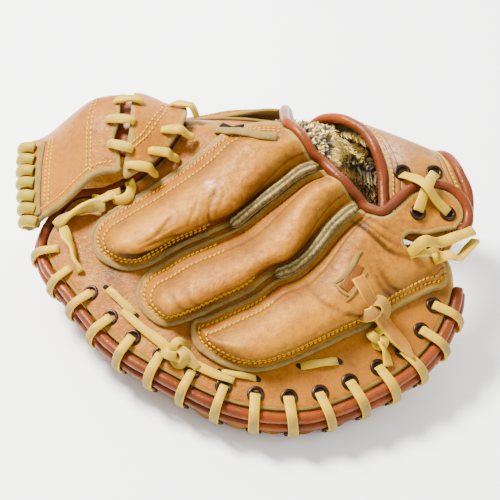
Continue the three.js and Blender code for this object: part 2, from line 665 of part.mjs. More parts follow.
// Places along both edges of the strap at a share of its length, with the height of its underside.
const strapEdges = ["near", "far"].map((edge) => new THREE.CatmullRomCurve3(
  STRAP_SECTIONS.map((row) => {
    const place = flat({ along: row[`${edge}_along`], across: row[`${edge}_across`] });
    return new THREE.Vector3(place.x, place.y, STALL_LOW + STRAP_RISE * row[`${edge}_rise`]);
  }),
));

// A band between the strap's edges, from one share of its length to another.
function band(from, to, low, high, inset = 0) {
  const lengths = 13;
  const widths = 4;
  const places = [];
  [high, low].forEach((level) => {
    for (let i = 0; i <= lengths; i++) {
      const [near, far] = strapEdges.map((edge) => edge.getPoint(from + ((to - from) * i) / lengths));
      for (let k = 0; k <= widths; k++) {
        const p = near.clone().lerp(far, inset + ((1 - 2 * inset) * k) / widths);
        places.push(fold(p.x, p.y, p.z + level));
      }
    }
  });
  const row = widths + 1;
  const sheet = (lengths + 1) * row;
  const index = [];
  const quad = (a, b, c, d) => index.push(a, b, c, a, c, d);
  for (let i = 0; i < lengths; i++) {
    for (let k = 0; k < widths; k++) {
      const a = i * row + k;
      quad(a, a + 1, a + row + 1, a + row);
      quad(sheet + a, sheet + a + row, sheet + a + row + 1, sheet + a + 1);
    }
    const [first, last] = [i * row, i * row + widths];
    quad(first, first + row, sheet + first + row, sheet + first);
    quad(last, sheet + last, sheet + last + row, last + row);
  }
  const end = lengths * row;
  for (let k = 0; k < widths; k++) {
    quad(k, sheet + k, sheet + k + 1, k + 1);
    quad(end + k, end + k + 1, sheet + end + k + 1, sheet + end + k);
  }
  const made = solidFrom(places, index);
  return signedVolume(made) < 0 ? flipped(made) : made;
}

// The piping along one edge of the strap, which stays clear of the base leather.
function strapPiping(edge, from, to) {
  const steps = 12;
  const lowest = BASE_TOP + CLEARANCE + PIPING_RADIUS;
  const points = Array.from({ length: steps + 1 }, (_, i) => {
    const t = from + ((to - from) * i) / steps;
    const [here, other] = [strapEdges[edge].getPoint(t), strapEdges[1 - edge].getPoint(t)];
    const run = strapEdges[edge].getTangent(t);
    const away = new THREE.Vector3(run.y, -run.x, 0).normalize();
    if (away.dot(other.sub(here)) > 0) away.negate();
    const high = Math.max(lowest, here.z + STRAP_THICKNESS / 2);
    return here.clone().addScaledVector(away, PIPING_RADIUS + 2 * CLEARANCE).setZ(high);
  });
  return cord(points, PIPING_RADIUS, 6);
}

// The binding round the wrist opening: the tab, the three stalls, over the ridge and the thumb stall.
function wristBinding() {
  const [index, middle, ring, thumb] = stalls;
  const runs = [ring, middle, index].map((stall) => stall.open.map((p) => [p, stall]));
  const overRidge = thumb.open.slice().reverse().map((p) => [p, thumb]);
  const places = [...runs.flat(), ...overRidge];
  const raw = places.map(([p]) => p);
  const points = raw.map((p, i) => {
    const run = raw[Math.min(raw.length - 1, i + 1)].clone().sub(raw[Math.max(0, i - 1)]).normalize();
    const away = new THREE.Vector2(run.y, -run.x);
    return p.clone().addScaledVector(away, PIPING_RADIUS + CLEARANCE);
  });
  const heights = places.map(([p, stall]) => stall.under(p.x, p.y) + LEATHER / 2);
  const evenHigh = heights.map((_, i) => {
    const around = heights.slice(Math.max(0, i - 1), i + 2);
    return around.reduce((sum, high) => sum + high, 0) / around.length;
  });
  return cord(points.map((p, i) => new THREE.Vector3(p.x, p.y, evenHigh[i])), PIPING_RADIUS, 6);
}

const laceClear = CLEARANCE + LACE_THICKNESS / 2;
const webTop = (x, y) => webHigh(x, y) + WEB_THICKNESS;

// Height of whatever is highest at a flat place: web, tongue, rim piping or back.
function topOfAll(x, y) {
  const onWeb = [webOutline, tongueOutline].some((outline) => (
    inside(outline, x, y) || distanceTo(closedLoop(outline), x, y) < LACE_WIDTH / 2 + 1));
  if (onWeb) return webTop(x, y);
  const fromRim = distanceTo(closedLoop(palmEdge), x, y);
  if (fromRim < 1.8 * PIPING_RADIUS) return BACK_PIPING.high + PIPING_RADIUS;
  return inside(palmEdge, x, y) ? topOfBack(x, y) : webHigh(x, y);
}

// Rolled raw edge between two stalls
function welt(rows) {
  const top = (x, y) => topOfBack(x, y, WELT_RADIUS);
  return cord(draped(rows, 9, top, WELT_RADIUS + CLEARANCE), WELT_RADIUS, 6);
}

// A short lace between two places, over what lies between them.
function bar(row) {
  const ends = [[row.from_along, row.from_across], [row.to_along, row.to_across]]
    .map(([along, across]) => ({ along, across }));
  const places = draped(ends, 5.2, topOfAll, laceClear + 1.2);
  [places[0], places.at(-1)].forEach((end) => end.setZ(topOfAll(end.x, end.y) + laceClear + 0.2));
  return strip(places, LACE_WIDTH, LACE_THICKNESS);
}

// A lace loop round the end of the web.
function webLoop(across) {
  const edge = webEnd(across);
  const stations = LACE_OVER_WEB.map((row) => {
    const along = edge.x - row.out * WEB_THICKNESS;
    const high = webHigh(Math.max(along, edge.x), edge.y) + row.high * WEB_THICKNESS;
    const ahead = fold(along, edge.y + 1, high);
    const middle = fold(along, edge.y, high);
    return { middle, side: ahead.sub(middle), wide: WEB_LOOP_WIDTH / 2, thick: LACE_THICKNESS / 2 };
  });
  return sweep(stations, FLAT_SECTION);
}

// The fingertip end of the web at one place across.
function webEnd(across) {
  const crossings = webOutline.map((a, i) => {
    const b = webOutline[(i + 1) % webOutline.length];
    const share = (across - a.y) / (b.y - a.y);
    return share >= 0 && share <= 1 ? a.x + share * (b.x - a.x) : Infinity;
  });
  return new THREE.Vector2(Math.min(...crossings), across);
}

const numbered = (name, i) => `${name}_${String(i + 1).padStart(2, "0")}`;

add("palm_pad", palmPad(), PALE_TAN);
add("back_fingers", backLeather(true, FINGER_SLOTS), TAN);
add("back_thumb", backLeather(false, THUMB_SLOTS), TAN);
stalls.forEach((stall) => add(`${stall.name}_stall`, stallShell(stall), TAN));
add("back_piping", cord(rimLine(BACK_PIPING), PIPING_RADIUS, 5), RUST);
add("palm_piping", cord(rimLine(PALM_PIPING), PIPING_RADIUS, 5), RUST);
add("wrist_binding", wristBinding(), RUST);
add("index_welt", welt(INDEX_WELT), RAW_EDGE);
add("middle_welt", welt(MIDDLE_WELT), RAW_EDGE);

add("web_panel", layer(region(webOutline), webTop, webHigh), TAN);
add("crotch_tongue", layer(region(tongueOutline), webTop, webHigh), TAN);
for (let i = 0; i < WEB_LOOPS.count; i++) {
  const share = WEB_LOOPS.first + ((WEB_LOOPS.last - WEB_LOOPS.first) * i) / (WEB_LOOPS.count - 1);
  add(numbered("web_loop", i), webLoop(share * FINGER_REACH), RAWHIDE);
}
WEB_LACES.forEach((row, i) => add(numbered("web_lace", i), bar(row), RAWHIDE));
CROTCH_LACES.forEach((row, i) => add(numbered("crotch_lace", i), bar(row), RAWHIDE));

add("wrist_strap", band(0, 1, 0, STRAP_THICKNESS), PALE_TAN);
add("strap_fleece", band(0.16, 0.72, -2 * CLEARANCE - FLEECE_THICKNESS, -2 * CLEARANCE, 0.04), FLEECE);
add("strap_near_piping", strapPiping(0, 0.09, 0.97), RUST);
add("strap_far_piping", strapPiping(1, 0.1, 0.905), RUST);

const laces = [["strap_lace", STRAP_LACES], ["strap_tail", STRAP_TAILS]];
laces.forEach(([name, routes]) => routes.forEach((route, i) => {
  const knots = route.map((row) => {
    const place = flat(row);
    return new THREE.Vector3(place.x, place.y, topOfBack(place.x, place.y, LACE_WIDTH / 2) + row.over);
  });
  const places = new THREE.CatmullRomCurve3(knots, false, "centripetal").getSpacedPoints(7);
  add(numbered(name, i), strip(places, LACE_WIDTH * 0.9, LACE_THICKNESS), RAWHIDE);
}));
add("back_lace", strip(draped(BACK_LACE, 9, topOfBack, laceClear), LACE_WIDTH, LACE_THICKNESS), RAWHIDE);
const underThong = (x, y) => topOfBack(x, y, THONG_WIDTH / 2);
const thongPlaces = draped(THONG, 7, underThong, THONG_THICKNESS / 2 + CLEARANCE);
add("finger_thong", strip(thongPlaces, THONG_WIDTH, THONG_THICKNESS, thongShape), RAW_EDGE);

[["finger", FINGER_LOOPS], ["thumb", THUMB_LOOPS]].forEach(([side, loops]) => {
  for (let i = 0; i < loops.count; i++) {
    const share = loops.first + ((loops.last - loops.first) * i) / (loops.count - 1);
    add(numbered(`${side}_rim_lace`, i), rimLoop(share), RAWHIDE);
  }
});

// The origin is at the middle of the bottom of the whole part.
const box = new THREE.Box3().setFromObject(group);
group.position.set(-(box.min.x + box.max.x) / 2, -(box.min.y + box.max.y) / 2, -box.min.z);

export default group;
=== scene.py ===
"""A catcher's mitt that lies palm down: sewn finger stalls, a laced rim and web, a fleece-lined strap."""
import math

import bpy
import numpy as np
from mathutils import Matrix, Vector, geometry


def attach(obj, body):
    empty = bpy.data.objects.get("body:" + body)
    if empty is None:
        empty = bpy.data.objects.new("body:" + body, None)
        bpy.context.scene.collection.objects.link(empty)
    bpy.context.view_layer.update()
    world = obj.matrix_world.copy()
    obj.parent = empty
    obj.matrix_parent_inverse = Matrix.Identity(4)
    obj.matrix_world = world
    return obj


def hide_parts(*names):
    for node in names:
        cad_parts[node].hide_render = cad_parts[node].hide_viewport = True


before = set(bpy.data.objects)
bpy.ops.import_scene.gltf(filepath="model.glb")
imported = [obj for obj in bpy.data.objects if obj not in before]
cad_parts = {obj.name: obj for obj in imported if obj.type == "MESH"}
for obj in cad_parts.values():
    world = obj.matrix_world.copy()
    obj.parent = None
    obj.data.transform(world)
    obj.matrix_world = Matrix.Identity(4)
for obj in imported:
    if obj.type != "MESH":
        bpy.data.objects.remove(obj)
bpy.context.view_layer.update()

MM = 0.001

# The flat and its fold, in millimetres. "Along" runs to the wrist, "across" runs from the
# little-finger rim (below 0) over the ridge to the thumb rim, and "high" is up from the palm.
HALF_LENGTH = 134
FINGER_REACH = 188
THUMB_REACH = 106
RIDGE_HEIGHT = 98
RIDGE_BEND = 32
FINGER_SLOPE = math.radians(24)
THUMB_SLOPE = math.radians(72)
END_DROOP = 18
SKEW = 0.12
MIDDLE = (6.878, 60.222)

# Layers, in millimetres
RIM_PADDING = 34
POCKET_PADDING = 13
PALM_BULGE = 6
LEATHER = 2.4
CLEARANCE = 0.4
SEAM_DIP = 2.5
PIPING_RADIUS = 3.4
BACK_PIPING = (2, 1.2)
PALM_PIPING = (4.8, -6)
WELT_RADIUS = 3.6
LACE_WIDTH = 6
LACE_THICKNESS = 1.8
STALL_FLANGE = 5
MOUTH_LIFT = 9
MOUTH_REACH = 30
STRAP_THICKNESS = 3
FLEECE_THICKNESS = 4
STRAP_RISE = 11
WEB_RISE = 21
WEB_THICKNESS = 2.8
BASE_LOW = 0.7
BASE_TOP = BASE_LOW + LEATHER
STALL_LOW = BASE_TOP + CLEARANCE
STITCH_ROWS = (4.3, 7.8)

# The camera stands where the photographer stood.
CAMERA_TARGET = Vector((6.9, -1.9, 53)) * MM
CAMERA_DISTANCE = 0.65
CAMERA_ELEVATION = math.radians(44)


def make_camera():
    data = bpy.data.cameras.new("camera")
    data.sensor_width = 36
    data.lens = 72
    data.clip_start = 0.01
    data.clip_end = 30
    camera = bpy.data.objects.new("camera", data)
    bpy.context.scene.collection.objects.link(camera)
    back = Vector((0, -math.cos(CAMERA_ELEVATION), math.sin(CAMERA_ELEVATION)))
    camera.location = CAMERA_TARGET + back * CAMERA_DISTANCE
    camera.rotation_mode = "QUATERNION"
    camera.rotation_quaternion = (-back).to_track_quat("-Z", "Y")
    bpy.context.scene.camera = camera


make_camera()

PALM_OUTLINE = [
    (0.963, -0.484), (0.925, -0.58), (0.8, -0.734), (0.567, -0.872), (0.26, -0.979),
    (-0.06, -0.985), (-0.366, -0.904), (-0.634, -0.798), (-0.866, -0.617), (-0.978, -0.527),
    (-1.007, -0.441), (-0.933, -0.324), (-0.858, -0.271), (-0.716, -0.262), (-0.567, -0.207),
    (-0.47, -0.144), (-0.388, -0.064), (-0.336, 0.037), (-0.358, 0.139), (-0.448, 0.241),
    (-0.627, 0.296), (-0.8, 0.38), (-0.896, 0.519), (-0.873, 0.704), (-0.731, 0.87),
    (-0.448, 0.972), (-0.075, 1), (0.336, 0.99), (0.582, 0.944), (0.716, 0.861),
    (0.791, 0.731), (0.791, 0.583), (0.716, 0.463), (0.522, 0.352), (0.388, 0.13),
    (0.373, -0.074), (0.44, -0.202), (0.552, -0.303), (0.701, -0.346), (0.851, -0.34),
    (0.948, -0.383),
]
INDEX_SEWN = [
    (0.15, -0.005), (-0.015, -0.005), (-0.134, -0.032), (-0.216, -0.085), (-0.343, -0.165),
    (-0.485, -0.245), (-0.627, -0.314), (-0.724, -0.367), (-0.76, -0.425), (-0.74, -0.484),
    (-0.687, -0.52), (-0.597, -0.543), (-0.507, -0.537), (-0.425, -0.505), (-0.328, -0.457),
    (-0.187, -0.404), (-0.06, -0.351), (0.06, -0.271), (0.142, -0.218), (0.239, -0.165),
    (0.328, -0.138),
]
INDEX_MOUTH = [(0.328, -0.138), (0.284, -0.117), (0.231, -0.074), (0.179, -0.037), (0.15, -0.005)]
MIDDLE_SEWN = [
    (0.348, -0.154), (0.254, -0.184), (0.157, -0.237), (0.075, -0.29), (-0.045, -0.37),
    (-0.172, -0.423), (-0.313, -0.476), (-0.41, -0.524), (-0.478, -0.556), (-0.515, -0.601),
    (-0.515, -0.66), (-0.463, -0.707), (-0.396, -0.734), (-0.321, -0.723), (-0.254, -0.702),
    (-0.112, -0.644), (0, -0.596), (0.104, -0.532), (0.194, -0.5), (0.269, -0.447),
    (0.321, -0.399), (0.373, -0.351), (0.44, -0.303), (0.5, -0.266),
]
MIDDLE_MOUTH = [(0.5, -0.266), (0.448, -0.234), (0.388, -0.191), (0.348, -0.154)]
RING_SEWN = [
    (0.518, -0.284), (0.455, -0.322), (0.388, -0.37), (0.336, -0.418), (0.284, -0.466),
    (0.209, -0.519), (0.119, -0.551), (0.015, -0.615), (-0.097, -0.663), (-0.2, -0.703),
    (-0.254, -0.718), (-0.261, -0.755), (-0.239, -0.798), (-0.179, -0.83), (-0.052, -0.862),
    (0.067, -0.856), (0.187, -0.819), (0.306, -0.771), (0.425, -0.718), (0.515, -0.681),
    (0.597, -0.638), (0.679, -0.59), (0.769, -0.548), (0.836, -0.516), (0.903, -0.495),
    (0.92, -0.47),
]
HEEL_SLIT = [
    (0.92, -0.47), (0.905, -0.425), (0.836, -0.408), (0.754, -0.407), (0.705, -0.38),
    (0.735, -0.347), (0.821, -0.333), (0.896, -0.319), (0.963, -0.303),
]
HEEL_TAB = [
    (0.963, -0.303), (1, -0.266), (1, -0.218), (0.955, -0.181), (0.888, -0.17),
    (0.836, -0.178), (0.776, -0.202), (0.716, -0.245), (0.657, -0.293), (0.612, -0.311),
    (0.567, -0.303), (0.518, -0.284),
]
THUMB_SEWN = [
    (0.15, 0.26), (-0.12, 0.24), (-0.42, 0.33), (-0.66, 0.41), (-0.78, 0.5),
    (-0.8, 0.6), (-0.72, 0.7), (-0.52, 0.78), (-0.2, 0.81), (0.11, 0.77),
]
THUMB_MOUTH = [(0.11, 0.77), (0.16, 0.62), (0.18, 0.42), (0.15, 0.26)]
WEB_OUTLINE = [
    (-1.085, -0.4), (-1.02, -0.365), (-0.9, -0.312), (-0.828, -0.266), (-0.75, -0.222),
    (-0.672, -0.208), (-0.63, -0.208), (-0.628, -0.16), (-0.66, -0.1), (-0.64, -0.04),
    (-0.645, 0.06), (-0.64, 0.2), (-0.65, 0.33), (-0.76, 0.38), (-0.9, 0.5),
    (-1.02, 0.56), (-1.11, 0.46), (-1.15, 0.2), (-1.16, -0.03), (-1.15, -0.16),
    (-1.125, -0.28),
]
TONGUE_OUTLINE = [
    (-0.6, -0.235), (-0.53, -0.205), (-0.455, -0.155), (-0.375, -0.075), (-0.315, 0.03),
    (-0.34, 0.17), (-0.44, 0.27), (-0.58, 0.3), (-0.585, 0.1), (-0.58, -0.04),
    (-0.59, -0.12),
]
# Each slot: from along, from across, to along, to across, radius
FINGER_SLOTS = [
    (-0.58, -0.44, 0.1, -0.15, 0.09), (-0.35, -0.63, 0.27, -0.32, 0.08), (-0.08, -0.76, 0.5, -0.5, 0.09),
]
THUMB_SLOTS = [(-0.55, 0.56, 0.02, 0.52, 0.12)]
# Each stall: share of STALL_CROWN, share of STALL_BREADTH, crown left at the heel
STALL_CROWN = 17
STALL_BREADTH = 22
STALL_SHAPES = {
    "index": (1, 1, 1), "middle": (1, 0.91, 1), "ring": (0.82, 1, 0.45), "thumb": (0.82, 1.09, 1),
}
# Each strap section: near along, near across, near rise, far along, far across, far rise
STRAP_SECTIONS = [
    (0.672, -0.335, 0, 0.94, -0.368, 0),
    (0.664, -0.266, 0.08, 0.993, -0.287, 0.2),
    (0.664, -0.181, 0.16, 1.022, -0.213, 0.45),
    (0.664, -0.117, 0.25, 1.022, -0.149, 0.65),
    (0.642, -0.048, 0.4, 0.993, -0.074, 0.5),
    (0.582, 0.083, 0.6, 0.97, 0.037, 0.15),
    (0.47, 0.204, 0.75, 0.94, 0.204, 0.1),
    (0.358, 0.352, 0.6, 0.896, 0.389, 0.18),
    (0.29, 0.509, 0.06, 0.81, 0.611, 0.06),
    (0.27, 0.667, 0, 0.7, 0.76, 0),
]


# Lines and outlines in the flat

def flat(rows):
    """Shares of the half length and of each half's reach, as millimetres in the flat."""
    rows = np.asarray(rows, float)
    reach = np.where(rows[:, 1] < 0, FINGER_REACH, THUMB_REACH)
    return np.column_stack([rows[:, 0] * HALF_LENGTH, rows[:, 1] * reach, *rows[:, 2:].T])


def spline(knots, closed=False, steps=24):
    """Dense points on a centripetal Catmull-Rom curve through the knots."""
    knots = np.asarray(knots, float)
    if closed:
        padded = np.vstack([knots[-1], knots, knots[:2]])
    else:
        padded = np.vstack([2 * knots[0] - knots[1], knots, 2 * knots[-1] - knots[-2]])
    gaps = np.linalg.norm(np.diff(padded, axis=0), axis=1) ** 0.5
    t = np.linspace(0, 1, steps, endpoint=False)[:, None]
    parts = []
    for i in range(len(padded) - 3):
        a, b, c, d = padded[i : i + 4]
        before, here, after = gaps[i : i + 3]
        start = ((b - a) / before - (c - a) / (before + here) + (c - b) / here) * here
        end = ((c - b) / here - (d - b) / (here + after) + (d - c) / after) * here
        cube = 2 * b - 2 * c + start + end
        square = -3 * b + 3 * c - 2 * start - end
        parts.append(b + start * t + square * t**2 + cube * t**3)
    if not closed:
        parts.append(knots[-1:])
    return np.vstack(parts)


def lengths(points):
    steps = np.linalg.norm(np.diff(points, axis=0), axis=1)
    return np.concatenate([[0], np.cumsum(steps)])


def at_lengths(points, wanted):
    """Places at the wanted distances along a line."""
    run = lengths(points)
    return np.column_stack([np.interp(wanted, run, points[:, k]) for k in range(points.shape[1])])


def even(points, spacing, closed=False):
    """The same line with points at one spacing."""
    if closed:
        points = np.vstack([points, points[:1]])
    total = lengths(points)[-1]
    count = max(2, round(total / spacing))
    spaced = at_lengths(points, np.linspace(0, total, count + 1))
    return spaced[:-1] if closed else spaced


def line(rows, spacing, closed=False):
    return even(spline(flat(rows), closed), spacing, closed)


def joined(*parts):
    return np.vstack([part[:-1] for part in parts])


def closed_loop(points):
    return np.vstack([points, points[:1]])


def wound(points, anticlockwise=True):
    x, y = points[:, 0], points[:, 1]
    area = np.sum(x * np.roll(y, -1) - np.roll(x, -1) * y)
    return points if (area > 0) == anticlockwise else points[::-1]


def outward(points):
    """Unit vectors away from the material on each point of a wound outline."""
    run = np.roll(points, -1, axis=0) - np.roll(points, 1, axis=0)
    run /= np.linalg.norm(run, axis=1)[:, None]
    return np.column_stack([run[:, 1], -run[:, 0]])


def distance(points, x, y):
    """Distance from each place to a line."""
    a, b = points[:-1], points[1:]
    d = b - a
    size = np.maximum((d**2).sum(1), 1e-12)
    best = np.full(np.shape(x), np.inf)
    for (ax, ay), (dx, dy), length in zip(a, d, size):
        t = np.clip(((x - ax) * dx + (y - ay) * dy) / length, 0, 1)
        best = np.minimum(best, (x - ax - t * dx) ** 2 + (y - ay - t * dy) ** 2)
    return np.sqrt(best)


def inside(points, x, y):
    within = np.zeros(np.shape(x), bool)
    for a, b in zip(points, np.roll(points, -1, axis=0)):
        if a[1] == b[1]:
            continue
        crosses = (a[1] > y) != (b[1] > y)
        within ^= crosses & (x < a[0] + (y - a[1]) / (b[1] - a[1]) * (b[0] - a[0]))
    return within


def slot_outline(row):
    start, end = flat([row[:2]])[0], flat([row[2:4]])[0]
    radius = row[4] * HALF_LENGTH
    turn = math.atan2(*(end - start)[::-1])
    angles = np.linspace(0, math.pi, 11)
    first = start + radius * np.column_stack([np.cos(turn + math.pi / 2 + angles), np.sin(turn + math.pi / 2 + angles)])
    last = end + radius * np.column_stack([np.cos(turn - math.pi / 2 + angles), np.sin(turn - math.pi / 2 + angles)])
    return np.vstack([first, last])


def smoothstep(value, low, high):
    t = np.clip((np.asarray(value, float) - low) / (high - low), 0, 1)
    return t * t * (3 - 2 * t)


def fold(x, s, w):
    """Folds flat places, in millimetres, into space, in metres."""
    x, s, w = np.broadcast_arrays(np.asarray(x, float), s, w)
    on_bend = np.clip(s, -RIDGE_BEND * FINGER_SLOPE, RIDGE_BEND * THUMB_SLOPE)
    past = s - on_bend
    angle = on_bend / RIDGE_BEND
    radius = RIDGE_BEND + w - END_DROOP * (x / HALF_LENGTH) ** 2
    y = radius * np.sin(angle) + past * np.cos(angle) - SKEW * x
    z = RIDGE_HEIGHT - RIDGE_BEND + radius * np.cos(angle) - past * np.sin(angle)
    return np.stack([x + MIDDLE[0], y + MIDDLE[1], z], -1) * MM


def up(x, s, w=0.0):
    """The direction up from the leather at flat places."""
    rise = fold(x, s, np.asarray(w) + 0.5) - fold(x, s, np.asarray(w) - 0.5)
    return rise / np.linalg.norm(rise, axis=-1)[..., None]


# Heights in the flat

PALM_EDGE = wound(line(PALM_OUTLINE, 4, True))
WEB_EDGE = wound(line(WEB_OUTLINE, 2.5, True))
TONGUE_EDGE = wound(line(TONGUE_OUTLINE, 2.5, True))


def outlines_of(sewn, mouth, slit=None):
    sewn, mouth = line(sewn, 2), line(mouth, 2)
    parts = [sewn, mouth] if slit is None else [sewn, line(slit, 2), mouth]
    return {"sewn": sewn, "mouth": mouth, "outline": joined(*parts)}


STALLS = {
    "index": outlines_of(INDEX_SEWN, INDEX_MOUTH),
    "middle": outlines_of(MIDDLE_SEWN, MIDDLE_MOUTH),
    "ring": outlines_of(RING_SEWN, HEEL_TAB, HEEL_SLIT),
    "thumb": outlines_of(THUMB_SEWN, THUMB_MOUTH),
}


def stall_under(name, x, s):
    crown, breadth, heel_crown = STALL_SHAPES[name]
    crown, breadth = crown * STALL_CROWN, breadth * STALL_BREADTH
    shape = STALLS[name]
    inward = (distance(shape["sewn"], x, s) - STALL_FLANGE) / (breadth - STALL_FLANGE)
    round_ = (1 - (1 - np.clip(inward, 0, 1)) ** 2.2) ** 0.8
    near = np.exp(-((distance(shape["mouth"], x, s) / MOUTH_REACH) ** 2))
    heel = 1 - (1 - heel_crown) * smoothstep(np.asarray(x) / HALF_LENGTH, 0.42, 0.78)
    return STALL_LOW + MOUTH_LIFT * near + crown * heel * round_ * (1 - 0.45 * near)


def top_of_back(x, s, reach=0.0):
    """Height of the highest leather of the back within reach of each place."""
    x, s = np.asarray(x, float), np.asarray(s, float)
    top = np.full(x.shape, float(BASE_TOP))
    spots = [(0, 0)] + [(math.cos(k * math.pi / 4), math.sin(k * math.pi / 4)) for k in range(8) if reach]
    for name, shape in STALLS.items():
        for dx, dy in spots:
            px, py = x + reach * dx, s + reach * dy
            within = inside(shape["outline"], px, py)
            if within.any():
                top = np.where(within, np.maximum(top, stall_under(name, px, py) + LEATHER), top)
    return top


def web_high(x, s):
    t = np.clip((-0.36 * HALF_LENGTH - x) / (0.78 * HALF_LENGTH), 0, 1)
    bell = np.exp(-(((s - 8) / 52) ** 2))
    hump = 0.5 + 0.5 * smoothstep(t, 0, 0.3) - 1.15 * smoothstep(t, 0.5, 1) * (0.35 + 0.65 * bell)
    return WEB_RISE * hump * (0.55 + 0.45 * bell)


# Meshes

def make_object(name, points, faces, attributes=None, materials=(), face_materials=None):
    mesh = bpy.data.meshes.new(name)
    mesh.from_pydata([tuple(p) for p in np.asarray(points, float)], [], [tuple(map(int, f)) for f in faces])
    mesh.polygons.foreach_set("use_smooth", [True] * len(mesh.polygons))
    for material in materials:
        mesh.materials.append(material)
    if face_materials is not None:
        mesh.polygons.foreach_set("material_index", np.asarray(face_materials, np.int32))
    for key, values in (attributes or {}).items():
        attribute = mesh.attributes.new(key, "FLOAT", "POINT")
        attribute.data.foreach_set("value", np.asarray(values, np.float32))
    obj = bpy.data.objects.new(name, mesh)
    bpy.context.scene.collection.objects.link(obj)
    return obj


def piece(obj, slot, *nodes):
    """The piece rides on the mitt and may stand for CAD nodes, which it hides. The slot is not used."""
    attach(obj, "root")
    if nodes:
        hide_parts(*nodes)
    return obj


def region(outline, holes=(), spacing=2.0, seed=1):
    """Triangles that fill an outline, with its border loops first among the points."""
    loops = [wound(outline)] + [wound(hole, False) for hole in holes]
    random = np.random.default_rng(seed)
    low, high = outline.min(0), outline.max(0)
    xs = np.arange(low[0], high[0], spacing)
    ys = np.arange(low[1], high[1], spacing * 0.866)
    grid_x, grid_y = np.meshgrid(xs, ys)
    grid_x = grid_x + np.where(np.arange(len(ys)) % 2, spacing / 2, 0)[:, None]
    grid = np.column_stack([grid_x.ravel(), grid_y.ravel()])
    grid += random.uniform(-0.12, 0.12, grid.shape) * spacing
    keep = inside(loops[0], *grid.T)
    for hole in loops[1:]:
        keep &= ~inside(hole, *grid.T)
    grid = grid[keep]
    room = np.min([distance(closed_loop(loop), *grid.T) for loop in loops], axis=0)
    grid = grid[room > 0.6 * spacing]
    points = np.vstack([*loops, grid])
    borders, edges, start = [], [], 0
    for loop in loops:
        ids = np.arange(start, start + len(loop))
        borders.append(ids)
        edges += list(zip(ids.tolist(), np.roll(ids, -1).tolist()))
        start += len(loop)
    found = geometry.delaunay_2d_cdt([Vector(p) for p in points], edges, [], 0, 1e-7)
    source = np.array([ids[0] if ids else -1 for ids in found[3]])
    triangles = np.array([[source[k] for k in face] for face in found[2] if len(face) == 3])
    triangles = triangles[(triangles >= 0).all(1)]
    middles = points[triangles].mean(1)
    keep = inside(loops[0], *middles.T)
    for hole in loops[1:]:
        keep &= ~inside(hole, *middles.T)
    triangles = triangles[keep]
    a, b, c = (points[triangles[:, k]] for k in range(3))
    turn = (b[:, 0] - a[:, 0]) * (c[:, 1] - a[:, 1]) - (b[:, 1] - a[:, 1]) * (c[:, 0] - a[:, 0])
    triangles[turn < 0] = triangles[turn < 0][:, ::-1]
    return {"points": points, "triangles": triangles, "borders": borders, "loops": loops}


def layer(name, area, top, bottom, wall=((0.25, 0.3), (0.75, 0.3)), attributes=None, materials=(), fold=fold):
    """A closed layer between two heights. Each wall row is a share of the way down and how far out."""
    x, s = area["points"].T
    high, low = top(x, s), bottom(x, s)
    places = [fold(x, s, high), fold(x, s, low)]
    count = len(x)
    triangles = area["triangles"]
    faces = [*triangles.tolist(), *(triangles[:, ::-1] + count).tolist()]
    edge = np.min([distance(closed_loop(loop), x, s) for loop in area["loops"]], axis=0)
    edges, heights = [edge, np.full(count, -1.0)], [high, low]
    flat_places = [area["points"], area["points"]]
    start = 2 * count
    for ids, loop in zip(area["borders"], area["loops"]):
        away = outward(loop)
        rings = [ids]
        for share, out in wall:
            moved = loop + away * out
            w = high[ids] * (1 - share) + low[ids] * share
            places.append(fold(*moved.T, w))
            flat_places.append(moved)
            edges.append(np.full(len(ids), -0.5))
            heights.append(w)
            rings.append(np.arange(start, start + len(ids)))
            start += len(ids)
        rings.append(ids + count)
        for upper, lower in zip(rings, rings[1:]):
            ahead_upper, ahead_lower = np.roll(upper, -1), np.roll(lower, -1)
            faces += np.column_stack([upper, lower, ahead_lower, ahead_upper]).tolist()
    every = np.vstack(flat_places)
    values = {"edge": np.concatenate(edges)}
    for key, function in (attributes or {}).items():
        values[key] = function(every[:, 0], every[:, 1])
    return make_object(name, np.vstack(places), faces, values, materials)


def ring_section(sides):
    angles = np.linspace(0, 2 * math.pi, sides, endpoint=False)
    return np.column_stack([np.cos(angles), np.sin(angles)])


def strap_section(bevel=0.35):
    """A flat section with rounded corners, from -1 to 1 both ways."""
    return np.array([
        (1, -1 + 2 * bevel), (1, 1 - 2 * bevel), (1 - bevel * 0.5, 1), (0, 1.06), (-1 + bevel * 0.5, 1),
        (-1, 1 - 2 * bevel), (-1, -1 + 2 * bevel), (-1 + bevel * 0.5, -1), (0, -1.06), (1 - bevel * 0.5, -1),
    ])


